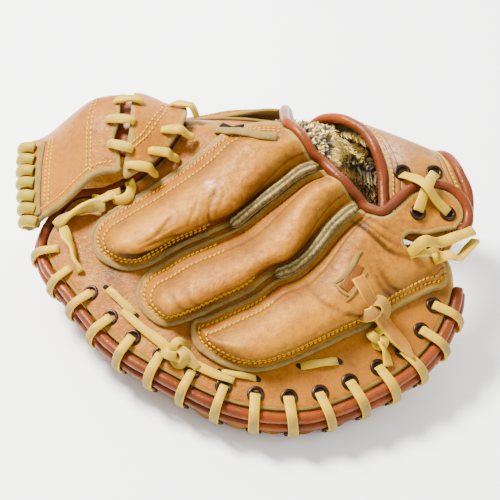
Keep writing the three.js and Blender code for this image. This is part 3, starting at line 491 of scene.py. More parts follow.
def sweep(name, middles, sides, section, wide, thick, slot_materials=(), attributes=None, ends=True):
    """A section swept along points in metres. wide and thick are half sizes in metres at each point."""
    middles = np.asarray(middles, float)
    count = len(middles)
    wide = np.broadcast_to(np.asarray(wide, float), count)
    thick = np.broadcast_to(np.asarray(thick, float), count)
    run = np.gradient(middles, axis=0)
    run /= np.maximum(np.linalg.norm(run, axis=1), 1e-12)[:, None]
    sides = np.asarray(sides, float) - run * (np.asarray(sides) * run).sum(1)[:, None]
    sides /= np.maximum(np.linalg.norm(sides, axis=1), 1e-12)[:, None]
    ups = np.cross(sides, run)
    n = len(section)
    places = (
        middles[:, None]
        + sides[:, None] * section[None, :, :1] * wide[:, None, None]
        + ups[:, None] * section[None, :, 1:] * thick[:, None, None]
    ).reshape(-1, 3)
    i, k = np.meshgrid(np.arange(count - 1), np.arange(n), indexing="ij")
    a, b = i * n + k, i * n + (k + 1) % n
    faces = np.stack([a, b, b + n, a + n], -1).reshape(-1, 4).tolist()
    if ends:
        faces += [list(range(n))[::-1], list(range((count - 1) * n, count * n))]
    run_length = lengths(middles)
    values = {
        "along": np.repeat(run_length / MM, n),
        "share": np.repeat(run_length / run_length[-1], n),
        "aside": np.tile(section[:, 0], count),
        "above": np.tile(section[:, 1], count),
    }
    for key, data in (attributes or {}).items():
        values[key] = np.repeat(data, n) if len(data) == count else data
    obj = make_object(name, places, faces, values, slot_materials)
    volume = 0.0
    for polygon in obj.data.polygons[: min(len(faces), 4000)]:
        volume += polygon.center.dot(polygon.normal) * polygon.area
    if volume < 0:
        obj.data.flip_normals()
    return obj


def carried_sides(middles, first=(0, 0, 1)):
    """Sideways vectors carried along a path without twist."""
    run = np.gradient(np.asarray(middles, float), axis=0)
    run /= np.maximum(np.linalg.norm(run, axis=1), 1e-12)[:, None]
    side = np.array(first, float)
    out = []
    for direction in run:
        side = side - direction * side.dot(direction)
        side /= max(np.linalg.norm(side), 1e-12)
        out.append(side.copy())
    return np.array(out)


def tube(name, route, radius, material, sides=14, attributes=None):
    """A round roll of leather along flat places with heights."""
    middles = fold(*np.asarray(route, float).T)
    return sweep(name, middles, carried_sides(middles), ring_section(sides), radius * MM, radius * MM,
                 [material], attributes)


def flat_sides(route):
    """Sideways vectors that lie in the leather, for flat places with heights."""
    route = np.asarray(route, float)
    run = np.gradient(route[:, :2], axis=0)
    run /= np.maximum(np.linalg.norm(run, axis=1), 1e-9)[:, None]
    x, s, w = route.T
    return fold(x - run[:, 1], s + run[:, 0], w) - fold(x + run[:, 1], s - run[:, 0], w)


def strip(name, route, width, thickness, material, shape=None, attributes=None):
    """A flat lace along flat places with heights, all in millimetres."""
    route = np.asarray(route, float)
    wide = np.full(len(route), width / 2) if shape is None else shape * width / 2
    return sweep(name, fold(*route.T), flat_sides(route), strap_section(), wide * MM, thickness / 2 * MM,
                 [material], attributes)


def join(name, objects):
    """One object of several, with their materials kept."""
    with bpy.context.temp_override(
        active_object=objects[0], object=objects[0], selected_objects=objects, selected_editable_objects=objects,
    ):
        bpy.ops.object.join()
    objects[0].name = name
    objects[0].data.name = name
    return objects[0]


# Materials

SHINE = (1, 0.74, 0.46, 1)


class Shader:
    """Short names for building a node material."""

    def __init__(self, name):
        self.material = bpy.data.materials.new(name)
        self.material.use_nodes = True
        self.tree = self.material.node_tree
        self.tree.nodes.clear()
        self.output = self.tree.nodes.new("ShaderNodeOutputMaterial")
        self.surface = self.tree.nodes.new("ShaderNodeBsdfPrincipled")
        self.link(self.surface.outputs[0], self.output.inputs[0])
        self.place = self.tree.nodes.new("ShaderNodeTexCoord").outputs["Object"]

    def link(self, source, target):
        self.tree.links.new(source, target)

    def put(self, target, value):
        if isinstance(value, bpy.types.NodeSocket):
            self.link(value, target)
        else:
            target.default_value = value

    def noise(self, scale, detail=3.0, roughness=0.55, distortion=0.0, stretch=None):
        node = self.tree.nodes.new("ShaderNodeTexNoise")
        node.inputs["Scale"].default_value = scale
        node.inputs["Detail"].default_value = detail
        node.inputs["Roughness"].default_value = roughness
        node.inputs["Distortion"].default_value = distortion
        place = self.place
        if stretch:
            mapping = self.tree.nodes.new("ShaderNodeMapping")
            mapping.inputs["Scale"].default_value = stretch
            self.link(place, mapping.inputs[0])
            place = mapping.outputs[0]
        self.link(place, node.inputs["Vector"])
        return node.outputs[0]

    def cells(self, scale, feature="F1"):
        node = self.tree.nodes.new("ShaderNodeTexVoronoi")
        node.feature = feature
        node.inputs["Scale"].default_value = scale
        self.link(self.place, node.inputs["Vector"])
        return node.outputs["Distance"]

    def given(self, name):
        node = self.tree.nodes.new("ShaderNodeAttribute")
        node.attribute_name = name
        return node.outputs["Fac"]

    def math(self, operation, a, b=0.0, c=None, clamp=False):
        node = self.tree.nodes.new("ShaderNodeMath")
        node.operation = operation
        node.use_clamp = clamp
        self.put(node.inputs[0], a)
        self.put(node.inputs[1], b)
        if c is not None:
            self.put(node.inputs[2], c)
        return node.outputs[0]

    def between(self, value, low, high, start=0.0, end=1.0, soft=True):
        node = self.tree.nodes.new("ShaderNodeMapRange")
        node.interpolation_type = "SMOOTHSTEP" if soft else "LINEAR"
        for socket, number in zip(node.inputs[1:5], (low, high, start, end)):
            socket.default_value = number
        self.put(node.inputs[0], value)
        return node.outputs[0]

    def mix(self, share, a, b, kind="MIX"):
        node = self.tree.nodes.new("ShaderNodeMix")
        node.data_type = "RGBA"
        node.blend_type = kind
        self.put(node.inputs["Factor"], share)
        self.put(node.inputs[6], a)
        self.put(node.inputs[7], b)
        return node.outputs[2]

    def bump(self, height, strength, depth, under=None):
        node = self.tree.nodes.new("ShaderNodeBump")
        node.inputs["Strength"].default_value = strength
        node.inputs["Distance"].default_value = depth
        self.put(node.inputs["Height"], height)
        if under is not None:
            self.link(under, node.inputs["Normal"])
        return node.outputs[0]

    def finish(self, colour, roughness, normal=None, sheen=0.0, specular=0.5):
        self.put(self.surface.inputs["Base Color"], colour)
        self.put(self.surface.inputs["Roughness"], roughness)
        self.surface.inputs["Specular IOR Level"].default_value = specular
        self.surface.inputs["Sheen Weight"].default_value = sheen
        self.surface.inputs["Specular Tint"].default_value = SHINE
        if normal is not None:
            self.link(normal, self.surface.inputs["Normal"])
        return self.material


def leather(name, base, light, dark, raw=None, raw_width=1.5, rough=0.42, wrinkle=1.0, grain=1.0, stitched=False):
    """Worn, oiled leather. Reads how far the raw edge is, painted shade in creases and valleys, wear, dark patches, and
    light, which on stall crests is a painted highlight.
    """
    m = Shader(name)
    broad = m.between(m.noise(16, 3, 0.6), 0.36, 0.64)
    blotch = m.between(m.noise(60, 4, 0.62), 0.42, 0.7)
    fine = m.noise(260, 4, 0.65)
    colour = m.mix(m.math("MULTIPLY", broad, 0.75), base, light)
    colour = m.mix(m.math("MULTIPLY", blotch, 0.4), colour, dark)
    colour = m.mix(m.between(fine, 0.45, 0.75, 0, 0.35), colour, dark)
    # The light attribute lightens towards the light colour: a painted highlight on the stalls' crests, random tone on
    # the other pieces.
    colour = m.mix(m.math("MULTIPLY", m.given("light"), m.between(fine, 0.25, 0.7, 1.0, 0.35)), colour, light)
    pale = tuple(0.3 + 0.7 * v for v in light[:3]) + (1,)
    colour = m.mix(m.math("MULTIPLY", m.given("wear"), m.between(m.noise(420, 4, 0.7), 0.35, 0.6)), colour, pale)
    # Painted shade: darker in creases, in the valleys beside the stalls' seams and under the stall window.
    deep = tuple(0.42 * v for v in dark[:3]) + (1,)
    colour = m.mix(m.math("MULTIPLY", m.given("painted_shade"), 1.0, clamp=True), colour, deep)
    # Dark patches: real stains on the back; on the palm, stronger on its lowest part near the floor.
    dark_patch_mask = m.math("MULTIPLY", m.given("dark_patches"), m.between(m.noise(130, 4, 0.7), 0.25, 0.6, 0.35, 1.0))
    colour = m.mix(dark_patch_mask, colour, (0.035, 0.016, 0.008, 1))
    folds = m.noise(110, 3, 0.55, 0.8, (1, 1, 0.6))
    lines = m.noise(300, 4, 0.6, 1.2)
    normal = m.bump(folds, 0.3 * wrinkle, 0.0016)
    normal = m.bump(lines, 0.6 * wrinkle, 0.0007, normal)
    normal = m.bump(m.cells(760), 0.35 * grain, 0.00022, normal)
    if stitched:
        near = m.given("seam")
        grooves = None
        for row in STITCH_ROWS:
            pulse = m.math("SUBTRACT", 1.0, m.math("DIVIDE", m.math("ABSOLUTE", m.math("SUBTRACT", near, row)), 0.9), clamp=True)
            grooves = pulse if grooves is None else m.math("MAXIMUM", grooves, pulse)
        normal = m.bump(m.math("MULTIPLY", grooves, -1.0), 0.9, 0.0007, normal)
        colour = m.mix(m.math("MULTIPLY", grooves, 0.45), colour, dark)
    roughness = m.between(m.math("ADD", fine, m.math("MULTIPLY", blotch, 0.25)), 0.3, 1.0, rough - 0.08, rough + 0.2)
    if raw is not None:
        wander = m.math("ADD", m.given("edge"), m.math("MULTIPLY", m.math("SUBTRACT", m.noise(230), 0.5), 1.2))
        cut = m.between(wander, raw_width - 0.35, raw_width + 0.35, 1.0, 0.0)
        colour = m.mix(cut, colour, m.mix(m.noise(500, 4), raw, tuple(0.62 * v for v in raw[:3]) + (1,)))
        roughness = m.math("MAXIMUM", roughness, m.math("MULTIPLY", cut, 0.9))
    return m.finish(colour, roughness, normal, specular=0.22)


def rawhide(name, base, dull):
    """Lace leather: smooth and yellow where clean, grey and fuzzy where handled, pale at its cut sides."""
    m = Shader(name)
    fuzz = m.noise(620, 4, 0.7)
    patch = m.noise(120, 3, 0.6)
    grey = m.math("ADD", m.math("MULTIPLY", m.given("dull"), 1.2), m.between(patch, 0.4, 0.7, -0.25, 0.12), clamp=True)
    colour = m.mix(m.between(patch, 0.4, 0.75, 0, 0.35), base, tuple(0.78 * v for v in base[:3]) + (1,))
    colour = m.mix(grey, colour, m.mix(m.between(fuzz, 0.3, 0.7), dull, tuple(0.66 * v for v in dull[:3]) + (1,)))
    side = m.between(m.math("ABSOLUTE", m.given("aside")), 0.7, 1.0, 0, 0.75)
    colour = m.mix(side, colour, (0.671, 0.41, 0.00769, 1))
    normal = m.bump(m.noise(420, 4, 0.7), 0.5, 0.0006)
    return m.finish(colour, m.between(grey, 0, 1, 0.5, 0.9), normal, specular=0.35)


def raw_roll(name, base, dark):
    """Raw, layered leather edge with lines along it."""
    m = Shader(name)
    fuzz = m.noise(520, 4, 0.7)
    bands = m.math("SINE", m.math("MULTIPLY", m.given("round"), 5.0))
    colour = m.mix(m.between(fuzz, 0.3, 0.72), base, dark)
    colour = m.mix(m.between(bands, -1.0, -0.3, 0.75, 0.0), colour, tuple(0.5 * v for v in dark[:3]) + (1,))
    normal = m.bump(bands, 0.9, 0.0007)
    normal = m.bump(fuzz, 0.6, 0.0006, normal)
    return m.finish(colour, 0.92, normal, specular=0.2)


def thread(name, base):
    m = Shader(name)
    colour = m.mix(m.between(m.noise(300), 0.35, 0.7), base, tuple(0.72 * v for v in base[:3]) + (1,))
    return m.finish(colour, 0.7, m.bump(m.noise(1400), 0.5, 0.0002), specular=0.3)


def metal(name, base, rough):
    m = Shader(name)
    m.surface.inputs["Metallic"].default_value = 0.85
    colour = m.mix(m.between(m.noise(260, 4, 0.7), 0.4, 0.7), base, tuple(0.4 * v for v in base[:3]) + (1,))
    return m.finish(colour, rough, m.bump(m.noise(500), 0.3, 0.0003))


# Near-black for holes and slits: painted shade inside them.
def painted_hole_shade(name):
    m = Shader(name)
    return m.finish(m.mix(m.noise(300), (0.006, 0.004, 0.003, 1), (0.02, 0.013, 0.009, 1)), 0.9, specular=0.1)


def wool(name, tip, root):
    m = Shader(name)
    clump = m.noise(90, 3, 0.6)
    share = m.math("MULTIPLY", m.given("share"), m.between(clump, 0.3, 0.7, 0.55, 1.15), clamp=True)
    # Painted shade: each lock darkens from its tip to the dark root colour.
    colour = m.mix(m.between(share, 0.15, 0.85), root, tip)
    normal = m.bump(m.noise(900, 3), 0.4, 0.0005)
    return m.finish(colour, 0.95, normal, sheen=0.4, specular=0.15)


def lining(name, base, dark):
    m = Shader(name)
    colour = m.mix(m.noise(160, 4, 0.7), base, dark)
    return m.finish(colour, 0.95, m.bump(m.noise(700, 3), 0.6, 0.0006), specular=0.15)


RAW = (0.298, 0.189, 0.0403, 1)
BACK = leather("back_leather", (0.192, 0.0521, 0.0035, 1), (0.302, 0.106, 0.0035, 1), (0.0877, 0.0248, 0.00489, 1), RAW, 1.4)
STALL = leather("stall_leather", (0.184, 0.0496, 0.0035, 1), (0.388, 0.151, 0.0035, 1), (0.057, 0.0164, 0.00428, 1), RAW, 1.9,
                rough=0.44, stitched=True)
WEB = leather("web_leather", (0.212, 0.0591, 0.0035, 1), (0.313, 0.116, 0.0035, 1), (0.109, 0.0304, 0.00463, 1), RAW, 2.4, stitched=True)
PALM = leather("palm_leather", (0.396, 0.151, 0.0035, 1), (0.7, 0.316, 0.0035, 1), (0.129, 0.045, 0.00986, 1), wrinkle=1.4)
STRAP = leather("strap_leather", (0.192, 0.0649, 0.011, 1), (0.383, 0.161, 0.0155, 1), (0.0831, 0.0291, 0.0099, 1), RAW, 0.8,
                rough=0.4, wrinkle=0.5, grain=0.7, stitched=True)
PIPING = leather("piping_leather", (0.111, 0.0215, 0.00575, 1), (0.208, 0.04, 0.00471, 1), (0.0332, 0.00767, 0.0035, 1), rough=0.32, wrinkle=0.6)
LACE = rawhide("lace", (0.44, 0.27, 0.002, 1), (0.24, 0.184, 0.0579, 1))
THONG_LEATHER = rawhide("thong_leather", (0.317, 0.106, 0.0035, 1), (0.28, 0.178, 0.0403, 1))
WELT = raw_roll("raw_roll", (0.362, 0.266, 0.079, 1), (0.0772, 0.0592, 0.0317, 1))
TRIM = lining("raw_trim", (0.298, 0.189, 0.0403, 1), (0.0625, 0.0441, 0.0224, 1))
THREAD = thread("thread", (0.557, 0.289, 0.0035, 1))
EYELET = metal("eyelet_metal", (0.037, 0.0218, 0.016, 1), 0.34)
HOLE_SHADE = painted_hole_shade("painted_hole_shade")
WOOL = wool("wool", (0.95, 0.671, 0.132, 1), (0.0768, 0.0546, 0.0297, 1))
LINING = lining("lining", (0.228, 0.153, 0.0336, 1), (0.0622, 0.0413, 0.0174, 1))


# Stage

def make_stage():
    mesh = bpy.data.meshes.new("floor")
    size = 4
    mesh.from_pydata([(-size, -size, 0), (size, -size, 0), (size, size, 0), (-size, size, 0)], [], [(0, 1, 2, 3)])
    floor = bpy.data.objects.new("floor", mesh)
    bpy.context.scene.collection.objects.link(floor)
    m = Shader("floor")
    floor.data.materials.append(m.finish((0.975, 0.98, 0.985, 1), 0.7, specular=0.2))
    world = bpy.data.worlds.new("studio")
    bpy.context.scene.world = world
    world.use_nodes = True
    world.node_tree.nodes["Background"].inputs[0].default_value = (1.0, 0.99, 0.97, 1)
    world.node_tree.nodes["Background"].inputs[1].default_value = 1.0
    lamps = [
        ("key", (-0.62, 0.34, 1.1), 0.36, 84, (1, 0.98, 0.95)),
        ("fill", (0.9, -0.5, 0.8), 0.9, 10, (0.97, 0.985, 1)),
        ("back", (0.3, 1.0, 0.7), 0.9, 14, (1, 1, 1)),
    ]
    for name, place, width, power, colour in lamps:
        data = bpy.data.lights.new(name, "AREA")
        data.size = width
        data.energy = power
        data.color = colour
        lamp = bpy.data.objects.new(name, data)
        lamp.location = place
        lamp.rotation_mode = "QUATERNION"
        lamp.rotation_quaternion = (CAMERA_TARGET - Vector(place)).to_track_quat("-Z", "Y")
        bpy.context.scene.collection.objects.link(lamp)


make_stage()


# Small things placed on the leather

def frames_on(places, directions, top, fold=fold):
    """Middles, and along, aside and up vectors, for things that lie on a surface in the flat."""
    x, s = places.T
    dx, ds = directions.T
    half = 0.5
    ahead = fold(x + dx * half, s + ds * half, top(x + dx * half, s + ds * half))
    behind = fold(x - dx * half, s - ds * half, top(x - dx * half, s - ds * half))
    left = fold(x - ds * half, s + dx * half, top(x - ds * half, s + dx * half))
    right = fold(x + ds * half, s - dx * half, top(x + ds * half, s - dx * half))
    along = ahead - behind
    along /= np.linalg.norm(along, axis=1)[:, None]
    aside = left - right
    aside -= along * (aside * along).sum(1)[:, None]
    aside /= np.linalg.norm(aside, axis=1)[:, None]
    return fold(x, s, top(x, s)), along, aside, np.cross(along, aside)


def copies(name, template, faces, places, along, aside, normal, material, attributes=None):
    """One mesh of a small shape repeated on many frames. The template is in millimetres."""
    template = np.asarray(template, float) * MM
    points = (
        places[:, None]
        + along[:, None] * template[None, :, :1]
        + aside[:, None] * template[None, :, 1:2]
        + normal[:, None] * template[None, :, 2:]
    ).reshape(-1, 3)
    count = len(template)
    every = (np.asarray(faces)[None] + np.arange(len(places))[:, None, None] * count).reshape(-1, np.shape(faces)[1])
    values = {key: np.tile(data, len(places)) for key, data in (attributes or {}).items()}
    return make_object(name, points, every, values, [material])


def grain_shape(length, width, height, sides=6, rings=5):
    """A rounded grain, long along the first axis, as quads."""
    t = np.linspace(0, math.pi, rings + 2)[1:-1]
    angles = np.linspace(0, 2 * math.pi, sides, endpoint=False)
    points = [(-length / 2 * math.cos(a), width / 2 * math.sin(a) ** 0.7 * math.cos(b), height / 2 * math.sin(a) ** 0.7 * math.sin(b))
              for a in t for b in angles]
    faces = [(r * sides + k, r * sides + (k + 1) % sides, (r + 1) * sides + (k + 1) % sides, (r + 1) * sides + k)
             for r in range(rings - 1) for k in range(sides)]
    return np.array(points), faces


def stitches(name, lines, top, slot, pitch=3.1, length=2.7, tilt=14, fold=fold):
    """Rows of thread along lines in the flat, each slightly aslant."""
    places, directions = [], []
    for row in lines:
        total = lengths(row)[-1]
        spots = at_lengths(row, np.arange(pitch / 2, total, pitch))
        run = np.gradient(spots, axis=0)
        run /= np.linalg.norm(run, axis=1)[:, None]
        turn = math.radians(tilt)
        places.append(spots)
        directions.append(np.column_stack([
            run[:, 0] * math.cos(turn) - run[:, 1] * math.sin(turn),
            run[:, 0] * math.sin(turn) + run[:, 1] * math.cos(turn),
        ]))
    spots, along, aside, normal = frames_on(np.vstack(places), np.vstack(directions), top, fold)
    shape, faces = grain_shape(length, 1.35, 1.1)
    made = copies(name, shape, faces, spots + normal * 0.08 * MM, along, aside, normal, THREAD)
    return piece(made, slot)


def ring_shape(radius, thick, sides=26, round_=8, flat_=0.75):
    """An eyelet's rim."""
    points, faces = [], []
    for i in range(sides):
        a = 2 * math.pi * i / sides
        for k in range(round_):
            b = 2 * math.pi * k / round_
            out = radius + thick * math.cos(b)
            points.append((out * math.cos(a), out * math.sin(a), thick * flat_ * math.sin(b)))
            faces.append((i * round_ + k, ((i + 1) % sides) * round_ + k,
                          ((i + 1) % sides) * round_ + (k + 1) % round_, i * round_ + (k + 1) % round_))
    return np.array(points), faces


def eyelets(name, places, top, slot, radius=4.1, thick=1.15):
    """Metal eyelets with dark discs in their holes: painted shade."""
    places = np.asarray(places, float)
    directions = np.tile([1.0, 0.0], (len(places), 1))
    spots, along, aside, normal = frames_on(places, directions, top)
    shape, faces = ring_shape(radius, thick)
    rims = copies(name, shape, faces, spots + normal * 0.35 * MM, along, aside, normal, EYELET)
    sides = 20
    angles = np.linspace(0, 2 * math.pi, sides, endpoint=False)
    disc = np.column_stack([radius * np.cos(angles), radius * np.sin(angles), np.zeros(sides)])
    holes = copies(name + "_holes", disc, [tuple(range(sides))], spots + normal * 0.12 * MM, along, aside, normal, HOLE_SHADE)
    return piece(join(name, [rims, holes]), slot)


def twisted(sides, middles, turns):
    """Sideways vectors turned about the path by angles in radians."""
    run = np.gradient(middles, axis=0)
    run /= np.maximum(np.linalg.norm(run, axis=1), 1e-12)[:, None]
    sides = sides - run * (sides * run).sum(1)[:, None]
    sides /= np.maximum(np.linalg.norm(sides, axis=1), 1e-12)[:, None]
    ups = np.cross(sides, run)
    turns = np.asarray(turns)[:, None]
    return sides * np.cos(turns) + ups * np.sin(turns)


def lace(name, knots, material=None, width=LACE_WIDTH, thickness=LACE_THICKNESS, dull=(0.2, 0.5), turn=(0, 0),
         narrow=(1, 1), spacing=1.2, seed=3):
    """A lace along knots of along, across and high in millimetres, with its own wander, twist and wear."""
    route = even(spline(np.asarray(knots, float)), spacing)
    share = np.linspace(0, 1, len(route))
    random = np.random.default_rng(seed)
    middles = fold(*route.T)
    sides = flat_sides(route)
    turns = np.interp(share, np.linspace(0, 1, len(turn)), turn) + 0.12 * np.sin(share * 9 + random.uniform(0, 6))
    wide = np.interp(share, np.linspace(0, 1, len(narrow)), narrow) * width / 2
    wide = wide * (1 + 0.05 * np.sin(share * 14 + random.uniform(0, 6)))
    grey = np.interp(share, np.linspace(0, 1, len(dull)), dull) + random.uniform(-0.12, 0.12)
    return sweep(name, middles, twisted(sides, middles, turns), strap_section(), wide * MM, thickness / 2 * MM,
                 [material or LACE], {"dull": grey})


def knot(name, place, size, width, material=None, turn=0.0, dull=0.4, seed=5):
    """A small overhand knot in a lace, at a flat place with its height."""
    t = np.linspace(0.35, 2 * math.pi - 0.1, 72)
    loop = np.column_stack([
        (np.sin(t) + 2 * np.sin(2 * t)) / 3, (np.cos(t) - 2 * np.cos(2 * t)) / 3, -np.sin(3 * t) / 2.2,
    ]) * size / 2
    c, s_ = math.cos(turn), math.sin(turn)
    loop = np.column_stack([loop[:, 0] * c - loop[:, 1] * s_, loop[:, 0] * s_ + loop[:, 1] * c, loop[:, 2]])
    x, s, w = place
    middles = fold(x + loop[:, 0], s + loop[:, 1], w + loop[:, 2])
    outwards = loop.copy()
    outwards[:, 2] = 0.9 * size
    run = np.gradient(middles, axis=0)
    sides = np.cross(run, fold(x + outwards[:, 0], s + outwards[:, 1], w + outwards[:, 2]) - fold(x, s, w))
    return sweep(name, middles, sides, strap_section(), width / 2 * MM, LACE_THICKNESS / 2 * MM,
                 [material or LACE], {"dull": np.full(len(t), dull)})


# Palm and back

def padding(s):
    share = np.abs(s) / np.where(s < 0, FINGER_REACH, THUMB_REACH)
    return POCKET_PADDING + (RIM_PADDING - POCKET_PADDING) * smoothstep(share, 0.4, 0.8)


def palm_pad():
    area = region(PALM_EDGE, spacing=4.5)
    points, triangles = area["points"], area["triangles"]
    x, s = points.T
    edge = distance(closed_loop(PALM_EDGE), x, s)
    near = 1 - np.clip(edge / 5, 0, 1)
    far = 1 - np.clip(edge / 10, 0, 1)
    high, low = -SEAM_DIP * near**2, -padding(s) * (1 - 0.12 * far**2)
    count = len(x)
    ids = area["borders"][0]
    away = outward(PALM_EDGE)
    swell = PALM_BULGE * (padding(PALM_EDGE[:, 1]) - POCKET_PADDING) / (RIM_PADDING - POCKET_PADDING)
    depth = padding(PALM_EDGE[:, 1])
    pleat = np.sin(np.arange(len(PALM_EDGE)) * 2 * math.pi * 4 / 19.2) * 0.9
    profile = [(0, -SEAM_DIP - 0.06 * depth), (0.05, -SEAM_DIP - 0.24 * depth), (0.5, -SEAM_DIP - 0.36 * depth),
               (0.84, -0.56 * depth), (1, -0.66 * depth), (1, -0.76 * depth), (0.6, -0.86 * depth)]
    places = [fold(x, s, high), fold(x, s, low)]
    faces = [*triangles.tolist(), *(triangles[:, ::-1] + count).tolist()]
    rings, start = [ids], 2 * count
    for share, w in profile:
        moved = PALM_EDGE + away * (share * (swell + pleat * min(1, 2 * share)))[:, None]
        places.append(fold(*moved.T, w))
        rings.append(np.arange(start, start + len(ids)))
        start += len(ids)
    rings.append(ids + count)
    for upper, lower in zip(rings, rings[1:]):
        faces += np.column_stack([upper, lower, np.roll(lower, -1), np.roll(upper, -1)]).tolist()
    every = np.vstack(places)
    every[:, 2] = np.maximum(every[:, 2], 0)
    # Dark patches all over the palm, stronger where it is lower than 20 mm, near the floor.
    made = make_object("palm", every, faces, {"dark_patches": np.where(every[:, 2] < 0.02, 0.5, 0.1)}, [PALM])
    return piece(made, "palm_leather", "palm_pad")


def clipped(points, limit, below):
    """The part of an outline on one side of a line of constant across."""
    keeps = points[:, 1] <= limit if below else points[:, 1] >= limit
    out = []
    for i, a in enumerate(points):
        j = (i + 1) % len(points)
        if keeps[i]:
            out.append(a)
        if keeps[i] != keeps[j]:
            out.append(a + (points[j] - a) * (limit - a[1]) / (points[j][1] - a[1]))
    return np.array(out)


def ripple(x, s, seed=0.0):
    """Gentle unevenness of worn leather, from -1 to 1."""
    return (
        np.sin(x / 11 + 1.3 * np.sin(s / 17 + seed)) * np.sin(s / 9 + seed)
        + 0.6 * np.sin(x / 5.3 + s / 7.1 + seed)
        + 0.5 * np.sin(s / 4.1 - x / 8.3 + 2 * seed)
    ) / 2.1


def back_leather(name, below, slots, node):
    inset = PALM_EDGE - outward(PALM_EDGE) * 2.6
    half = clipped(inset, 6 - 0.2 if below else 6 + 0.2, below)
    half = even(half, 3, True)
    area = region(half, [even(slot_outline(row), 3, True) for row in slots], 3.0)

    def lift(x, s):
        return 0.5 * ripple(x, s) * smoothstep(distance(closed_loop(half), x, s), 1, 9)

    made = layer(name, area, lambda x, s: BASE_TOP + lift(x, s), lambda x, s: BASE_LOW + 0 * x,
                 attributes={"light": lambda x, s: 0.5 + 0.5 * ripple(x, s, 2), "dark_patches": back_dirt}, materials=[BACK])
    return piece(made, "back_leather", node)


# Stains on the back: along, across, radius, strength
BACK_STAINS = [(-88, -105, 9, 0.9), (-66, -118, 7, 0.8), (-104, -92, 8, 0.4), (60, -150, 10, 0.4), (112, -96, 9, 0.5)]


def back_dirt(x, s):
    dark_patches = np.zeros(np.shape(x))
    for sx, ss, radius, strength in BACK_STAINS:
        dark_patches = np.maximum(dark_patches, strength * np.exp(-(((x - sx) ** 2 + (s - ss) ** 2) / radius**2)))
    return dark_patches


# Creases of the stalls: name, width, depth, then places along and across in millimetres
CREASES = {
    "index": [
        (1.3, 0.8, (-22, -34), (-26, -45), (-29, -56), (-28, -64), (-24, -71)),
        (1.0, 0.4, (-30, -42), (-33, -52), (-35, -61), (-36, -69)),
        (1.0, 0.5, (-26, -40), (-30, -50), (-32, -60), (-31, -69)),
        (1.0, 0.4, (-19, -42), (-22, -50), (-24, -58), (-22, -66)),
        (1.0, 0.45, (-35, -46), (-38, -55), (-41, -63), (-42, -70)),
        (1.4, 0.8, (-50, -59), (-55, -66), (-60, -73), (-66, -78)),
        (1.3, 0.7, (-52, -68), (-58, -73), (-64, -77), (-71, -81)),
        (1.4, 0.9, (-42, -76), (-51, -76), (-60, -79), (-70, -84)),
        (1.1, 0.5, (-46, -70), (-53, -74), (-61, -77)),
        (2.6, 2.6, (-82, -90), (-73, -91), (-62, -89), (-50, -85), (-38, -80), (-26, -75)),
        (1.2, 0.7, (-76, -86), (-66, -87), (-56, -84), (-48, -81)),
        (1.2, 0.35, (-18, -46), (-10, -50), (0, -50), (8, -46)),
        (1.1, 0.3, (-14, -38), (-5, -42), (6, -40)),
        (1.1, 0.4, (-6, -60), (2, -62), (12, -58)),
    ],
    "middle": [
        (1.2, 0.35, (30, -62), (36, -54), (44, -48)),
        (1.4, 0.6, (-52, -112), (-46, -120), (-36, -127)),
        (1.2, 0.4, (-44, -108), (-38, -117), (-28, -123)),
        (1.2, 0.35, (-18, -92), (-8, -86), (2, -78)),
        (1.6, 0.9, (-30, -124), (-12, -121), (7, -109), (22, -95)),
    ],
    "ring": [
        (1.6, 1.5, (62, -60), (69, -66), (77, -73), (86, -79), (97, -80)),
        (1.3, 0.9, (66, -58), (74, -66), (83, -72), (94, -75)),
        (1.2, 0.6, (72, -58), (80, -64), (90, -68)),
        (1.8, 1.0, (78, -90), (84, -98), (92, -101)),
        (1.6, 0.8, (74, -92), (80, -101), (88, -106)),
        (1.6, 0.7, (34, -104), (42, -111), (50, -115)),
        (1.4, 0.9, (70, -120), (60, -117), (52, -117)),
    ],
    "thumb": [],
}
LEAN = 0.8
WELT_COVER = 14


def leaning(name):
    """The fold for a stall, whose crown sags down the slope, away from its mouth."""
    if name == "thumb":
        return fold
    mouth = STALLS[name]["mouth"]

    def place(x, s, w):
        lift = np.maximum(0, w - STALL_LOW - LEATHER - 1)
        shift = LEAN * lift * smoothstep(distance(mouth, x, s), 8, 62)
        return fold(x + 0.3 * shift, s - 0.95 * shift, w)

    return place


def crease_share(name, x, s):
    depth = np.zeros(np.shape(x))
    for width, deep, *places in CREASES[name]:
        path = spline(np.array(places, float))
        ends = lengths(path)[-1]
        gap = distance(path, x, s)
        fade = np.minimum(1, np.minimum(np.hypot(x - path[0][0], s - path[0][1]), np.hypot(x - path[-1][0], s - path[-1][1])) / (0.25 * ends))
        depth = np.maximum(depth, 1.25 * deep * np.exp(-((gap / width) ** 2)) * (0.35 + 0.65 * fade))
    return depth


def stall_top(name):
    shape = STALLS[name]
    loop = closed_loop(shape["outline"])

    def top(x, s):
        x, s = np.asarray(x, float), np.asarray(s, float)
        room = smoothstep(distance(loop, x, s), STALL_FLANGE, STALL_FLANGE + 9)
        lift = 0.75 * ripple(x, s, len(name)) - crease_share(name, x, s)
        return stall_under(name, x, s) + LEATHER + lift * room

    return top


